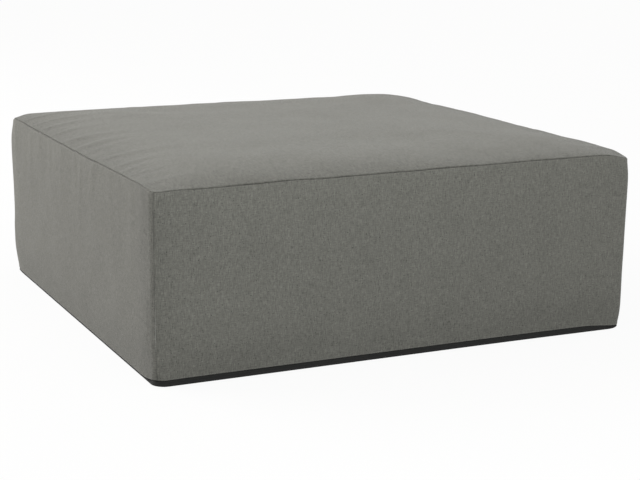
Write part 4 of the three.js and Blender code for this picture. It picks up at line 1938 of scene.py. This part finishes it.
    def slider(self) -> None:
        """Makes the slider: two tapered plates, their flanges, the wedge between them and the bridge."""
        at = self.seat(0.0)
        front = self.slider_plate("zip_slider_body", at, 0.0001, 0.0013)
        front.faces(lambda centre, way: way.y < -FACING and abs(centre.z - at.z) > self.flange_at)
        front.extrude((0, -0.0021, 0))
        front.faces(lambda centre, way: way.y > FACING and abs(centre.z - at.z) < self.flange_at)
        front.inset(0.0005, -0.00012)
        rear = self.slider_plate("zip_slider_rear", at, -0.0046, -0.0034)
        wedge = Bench.block("zip_slider_wedge", (0.0008, -0.0036, -0.00026), (0.0045, 0.0003, 0.00026), at)
        bridge = Bench.block("zip_slider_bridge", (-0.0046, 0.0035, -0.0015), (0.0046, 0.0047, 0.0015), at)
        for way in (-1, 1):
            bridge.cut(at + Vector((way * self.flange_at, 0, 0)), (1, 0, 0))
        bridge.faces(lambda centre, way: way.y < -FACING and abs(centre.x - at.x) > self.flange_at)
        bridge.extrude((0, -0.0023, 0))
        outer = at.y + 0.0046
        bridge.edges(lambda mid, way: mid.y > outer and abs(way.z) > FACING and abs(mid.x - at.x) > 0.004)
        bridge.round_off(0.0009, 4)
        for part in (front, rear, wedge, bridge):
            part.soften(self.edge)
        front.absorb(rear, wedge, bridge)
        dress(front.piece, self.metal, "zip_metal", "slider", "zip_slider")

    def slider_plate(self, name: str, at: Vector, low: float, high: float) -> Bench:
        """Starts a plate of the slider, narrower at its tail and rounded at its corners."""
        half, side = self.slider_half, self.slider_side
        plate = Bench.block(name, (-half, low, -side), (half, high, side), at)
        for way in (-1, 1):
            plate.cut(at + Vector((0, 0, way * self.flange_at)), (0, 0, 1))
        plate.cut(at + Vector((-0.0005, 0, 0)), (1, 0, 0))
        plate.points(lambda co: co.x < at.x - 0.004).scale((1, 1, 0.82), at)
        return plate

    def pull(self) -> None:
        """Makes the pull: a long plate with a hole, two arms and the pin that hangs in the bridge."""
        pin, half = self.seat(self.pin_past), self.pull_half
        plate = Bench.block("zip_pull_plate", (-0.030, -half, -0.004), (-0.0056, half, 0.004), pin)
        plate.points(lambda co: co.x > pin.x - 0.01).scale((1, 1, 0.85), pin)
        plate.edges(lambda middle, way: abs(way.y) > FACING and middle.x < pin.x - 0.02).round_off(0.0030, 6)
        plate.leave()
        deselect()
        hole_at, upright = pin + Vector((-0.026, 0, 0)), (math.pi / 2, 0, 0)
        bpy.ops.mesh.primitive_cylinder_add(
            vertices=24, radius=0.0020, depth=0.004, location=hole_at, rotation=upright
        )
        punch = bpy.context.object
        boolean = plate.piece.modifiers.new("hole", "BOOLEAN")
        boolean.operation = "DIFFERENCE"
        boolean.solver = "EXACT"
        boolean.object = punch
        apply_modifiers(plate.piece)
        bpy.data.objects.remove(punch)
        thick = half + 0.0002
        raised = Bench.block("zip_pull_panel", (-0.0225, -thick, -0.0024), (-0.0085, thick, 0.0024), pin)
        raised.edges(lambda middle, way: abs(way.y) > FACING).round_off(0.0011, 4)
        raised.faces(lambda centre, way: abs(way.y) > FACING).inset(0.0006, -0.00025)
        arms = []
        for way in (-1, 1):
            near, far = sorted((way * 0.0020, way * 0.0034))
            thin = half - 0.00006
            arm = Bench.block("zip_pull_arm", (-0.0064, -thin, near), (0.0007, thin, far), pin)
            arm.edges(lambda middle, way: abs(way.z) > FACING and middle.x > pin.x).round_off(0.00065, 4)
            arms.append(arm)
        deselect()
        bpy.ops.mesh.primitive_cylinder_add(vertices=20, radius=0.0006, depth=0.0054, location=pin)
        rod = Bench("zip_pull_pin")
        for part in (plate, raised, *arms, rod):
            part.soften(self.pull_edge)
        plate.absorb(raised, *arms, rod)
        dress(plate.piece, self.metal, "zip_metal", "pull", "zip_pull")


def stitch_bench(name: str, length: float, radius: float) -> Bench:
    """Models one stitch of thread along X, thin at both ends where it dips into the cloth."""
    deselect()
    lying = (0, math.pi / 2, 0)
    bpy.ops.mesh.primitive_uv_sphere_add(segments=6, ring_count=5, radius=radius, rotation=lying)
    bench = Bench(name)
    reach = length / 2 - radius
    for way in (1, -1):
        bench.points(lambda co: co.x * way > radius * 0.2).move((way * reach, 0, 0))
    bench.leave()
    return bench


@dataclass(frozen=True)
class Stitching:
    """Rows of sewing thread on the cover, along both lips of the zip's slot and round the foot."""

    form: BlockForm
    lie: Lie
    hem_line: HemLine
    thread: Finish
    slot_half: float
    slot_open: float
    length: float = 0.0034
    gap: float = 0.0011
    radius: float = 0.00024
    from_lip: float = 0.0026
    from_hem: float = 0.0022

    def build(self, zip_height: float) -> None:
        """Makes and dresses every row."""
        along = self.places(self.slot_half - 0.004)
        for side, name in ((1, "upper"), (-1, "lower")):
            z = np.full_like(along, zip_height + side * (self.slot_open + self.from_lip))
            self.row("back_stitches_" + name, Face.BACK, along, z)
        for face in Face:
            along = self.places(self.form.half - 0.016)
            z = self.hem_line.height(face, along) + self.from_hem
            self.row("foot_stitches_" + face.name.lower(), face, along, z)

    def places(self, reach: float) -> Array:
        """Middles of the stitches between two ends."""
        count = int(2 * reach / (self.length + self.gap))
        return (np.arange(count) - (count - 1) / 2) * (self.length + self.gap)

    def row(self, name: str, face: Face, along: Array, z: Array) -> None:
        """Lays one row of stitches on a face."""
        base = self.form.side(face, along / self.form.half, z)
        places = base + self.lie.field(base) - face.outward * self.radius * 0.2
        bench = stitch_bench(name, self.length, self.radius)
        turned = np.stack([face.along, -face.outward, [0, 0, 1.0]], -1)
        repeated(bench.piece, places, np.broadcast_to(turned, (len(along), 3, 3)))
        dress(bench.piece, self.thread, "outdoor_fabric", BODY)


# Studio


@dataclass(frozen=True)
class Studio:
    """Plain floor, soft light and the photograph's camera."""

    lens: float = 86.72
    sensor: float = 36.0
    eye: Three = (-1.3335, -2.9704, 0.8478)
    pitch: float = 12.548
    yaw: float = 25.012
    roll: float = 0.325
    floor_side: float = 40.0
    rim_at: Three = (-3.4, 3.15, 2.65)
    rim_power: float = 154.0
    rim_side: float = 3.4
    rim_colour: Three = (1.0, 0.985, 0.965)
    fill_at: Three = (-0.38, -2.15, 1.0)
    fill_power: float = 8.2
    fill_side: float = 0.8
    fill_colour: Three = (0.93, 1.0, 0.985)
    ambient: float = 0.70
    low_sky: Four = (0.995, 1.0, 1.015, 1.0)
    high_sky: Four = (1.006, 0.995, 0.935, 1.0)
    floor_paint: float = 0.44
    floor_glow: float = 1.09
    backdrop_share: float = 0.85

    def build(self) -> None:
        """Builds the world, floor, lamp and camera."""
        self.world()
        self.floor()
        self.lamps()
        self.camera()

    def world(self) -> None:
        """Lights the object evenly, a little warmer from above, and shows white to the camera."""
        world = bpy.data.worlds.new("studio")
        world.use_nodes = True
        bpy.context.scene.world = world
        sheet = NodeSheet(world.node_tree)
        seen = sheet.rays("Camera", "Glossy", "Transmission")
        strength = seen * (1.0 - self.ambient) + self.ambient
        _, _, up = sheet.split(sheet.add("ShaderNodeTexCoord", {}, {}, "Generated"))
        sky = sheet.mix(up.most(0.0), self.low_sky, self.high_sky)
        colour = sheet.mix(seen, sky, (1, 1, 1, 1))
        surface = sheet.add("ShaderNodeBackground", {}, {"Color": colour, "Strength": strength})
        sheet.place("ShaderNodeOutputWorld", {}, {"Surface": surface})

    def floor(self) -> None:
        """Lays a pale floor that keeps the object's shadow."""
        deselect()
        bpy.ops.mesh.primitive_plane_add(size=self.floor_side)
        floor = bpy.context.object
        floor.name = "studio_floor"
        made = bpy.data.materials.new("floor_paint")
        made.use_nodes = True
        sheet = NodeSheet(made.node_tree)
        paint = sheet.add("ShaderNodeBsdfDiffuse", {}, {"Color": (*(self.floor_paint,) * 3, 1)})
        glow = sheet.add("ShaderNodeEmission", {}, {"Color": (1, 1, 1, 1), "Strength": self.floor_glow})
        share = sheet.rays("Camera", "Glossy") * self.backdrop_share
        surface = sheet.add("ShaderNodeMixShader", {}, {0: share, 1: paint, 2: glow})
        sheet.place("ShaderNodeOutputMaterial", {}, {"Surface": surface})
        floor.data.materials.append(made)

    def lamps(self) -> None:
        """Hangs a broad lamp behind the object and a soft one in front of it."""
        self.lamp("rim", self.rim_at, self.rim_power, self.rim_side, self.rim_colour)
        self.lamp("fill", self.fill_at, self.fill_power, self.fill_side, self.fill_colour)

    @staticmethod
    def lamp(name: str, place: Place, power: float, side: float, colour: Place) -> None:
        """Hangs one square lamp that faces the object."""
        data = bpy.data.lights.new(name, "AREA")
        data.color = colour
        data.energy = power
        data.size = side
        lamp = linked(name, data)
        lamp.location = place
        lamp.rotation_mode = "QUATERNION"
        lamp.rotation_quaternion = (Vector(place) - Vector((0, 0, 0.2))).to_track_quat("Z", "Y")

    def camera(self) -> None:
        """Stands the camera where the photograph was taken."""
        pitch, yaw, roll = (math.radians(x) for x in (self.pitch, self.yaw, self.roll))
        forward = Vector((math.sin(yaw) * math.cos(pitch), math.cos(yaw) * math.cos(pitch), -math.sin(pitch)))
        right = Vector((math.cos(yaw), -math.sin(yaw), 0.0))
        up = right.cross(forward)
        tilted_right = math.cos(roll) * right + math.sin(roll) * up
        tilted_up = -math.sin(roll) * right + math.cos(roll) * up
        data = bpy.data.cameras.new("camera")
        data.lens = self.lens
        data.sensor_width = self.sensor
        camera = linked("camera", data)
        turned = Matrix((tilted_right, tilted_up, -forward)).transposed().to_4x4()
        camera.matrix_world = Matrix.Translation(self.eye) @ turned
        bpy.context.scene.camera = camera


PUCKERS = Puckers(
    (
        PuckerRow(Face.LEFT, True, -0.44, 0.32, 0.070, 0.150, 0.012, 0.0016, 0.00, 41),
        PuckerRow(Face.LEFT, True, 0.30, 0.48, 0.034, 0.090, 0.008, 0.0012, -0.28, 42),
        PuckerRow(Face.FRONT, True, -0.47, 0.47, 0.085, 0.110, 0.013, 0.0008, 0.08, 43),
        PuckerRow(Face.RIGHT, True, -0.46, 0.46, 0.078, 0.140, 0.012, 0.0008, 0.06, 44),
        PuckerRow(Face.BACK, True, -0.46, 0.46, 0.082, 0.130, 0.012, 0.0005, -0.05, 45),
        PuckerRow(Face.FRONT, False, -0.47, 0.47, 0.090, 0.080, 0.012, 0.0006, 0.05, 46),
        PuckerRow(Face.RIGHT, False, -0.47, 0.47, 0.080, 0.080, 0.011, 0.0008, -0.04, 47),
        PuckerRow(Face.BACK, False, -0.47, 0.47, 0.085, 0.080, 0.011, 0.0008, 0.06, 48),
        PuckerRow(Face.LEFT, False, -0.47, 0.47, 0.060, 0.120, 0.011, 0.0011, 0.03, 49),
    )
)
OUTDOOR_FABRIC = WovenFabric(
    name="cover_fabric", warp_pitch=0.00075, weft_pitch=0.00085, dark=grey(78, 4),
    light=grey(153, 8), warp_contrast=0.75, weft_contrast=0.45, slub_length=0.012, relief=0.00012,
    roughness=0.92, sheen=0.20, speck=0.54, mottle=0.10,
)
BORDER_CLOTH = WovenFabric(
    name="border_cloth", warp_pitch=0.0006, weft_pitch=0.0006, dark=grey(17, 0), light=grey(47, 1),
    warp_contrast=0.5, weft_contrast=0.5, slub_length=0.02, relief=0.00010, roughness=0.8,
    sheen=0.1, mottle=0.2,
)
BAG_CLOTH = WovenFabric(
    name="bag_cloth", warp_pitch=0.00032, weft_pitch=0.00032, dark=grey(196, 4), light=grey(232, 3),
    warp_contrast=0.3, weft_contrast=0.3, slub_length=0.03, relief=0.00003, roughness=0.55,
    sheen=0.1, mottle=0.15,
)
TAPE_CLOTH = WovenFabric(
    name="tape_cloth", warp_pitch=0.00048, weft_pitch=0.00036, dark=grey(24, 1), light=grey(52, 2),
    warp_contrast=0.3, weft_contrast=0.3, slub_length=0.03, relief=0.00007, roughness=0.85,
    sheen=0.15, mottle=0.1,
)
FLOOR_CLOTH = GripCloth("floor_cloth", grey(26, 1), grey(58, 2), 0.0045, 0.0013)
WADDING = FibreWadding("fibre_wadding", grey(206, 8), grey(246, 5), 0.0009)
COMFORT_FOAM = Foam("comfort_foam_cells", grey(196, 26), grey(233, 24), 0.0011, 0.0005)
CORE_FOAM = Foam("core_foam_cells", grey(168, -4), grey(208, -5), 0.0015, 0.0006)
COVER_THREAD = Thread("cover_thread", grey(104, 3), grey(168, 5), 0.0006)
ZIP_THREAD = Thread("zip_thread", grey(20, 0), grey(58, 1), 0.0005)
COIL_NYLON = Nylon("coil_nylon", grey(18, 0), grey(38, 0))
ZIP_METAL = PaintedMetal("zip_metal_paint", grey(52, 1), grey(150, 4))


def main() -> None:
    """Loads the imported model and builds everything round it."""
    logging.basicConfig(level=logging.INFO, format="%(name)s %(message)s")
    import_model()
    bpy.context.scene.view_settings.view_transform = "Standard"
    form = BlockForm.from_frame()
    Studio().build()
    zip_height = zip_middle()
    lie = Lie(form, zip_height)
    folds = Drape(form, zip_height).folds()
    hem_line = HemLine(form.half)
    cover = Cover(form, lie, folds, PUCKERS, hem_line, PaintedShading(), OUTDOOR_FABRIC)
    cover.build()
    Stitching(form, lie, hem_line, COVER_THREAD, cover.slot_half, cover.slot_open).build(zip_height)
    Base(form, hem_line, BORDER_CLOTH, FLOOR_CLOTH).build()
    Filling(form, lie, ZipDent(zip_height), BAG_CLOTH, WADDING, COMFORT_FOAM, CORE_FOAM).build()
    Zip(TAPE_CLOTH, COIL_NYLON, ZIP_METAL, ZIP_THREAD).build()


if __name__ == "__main__":
    main()
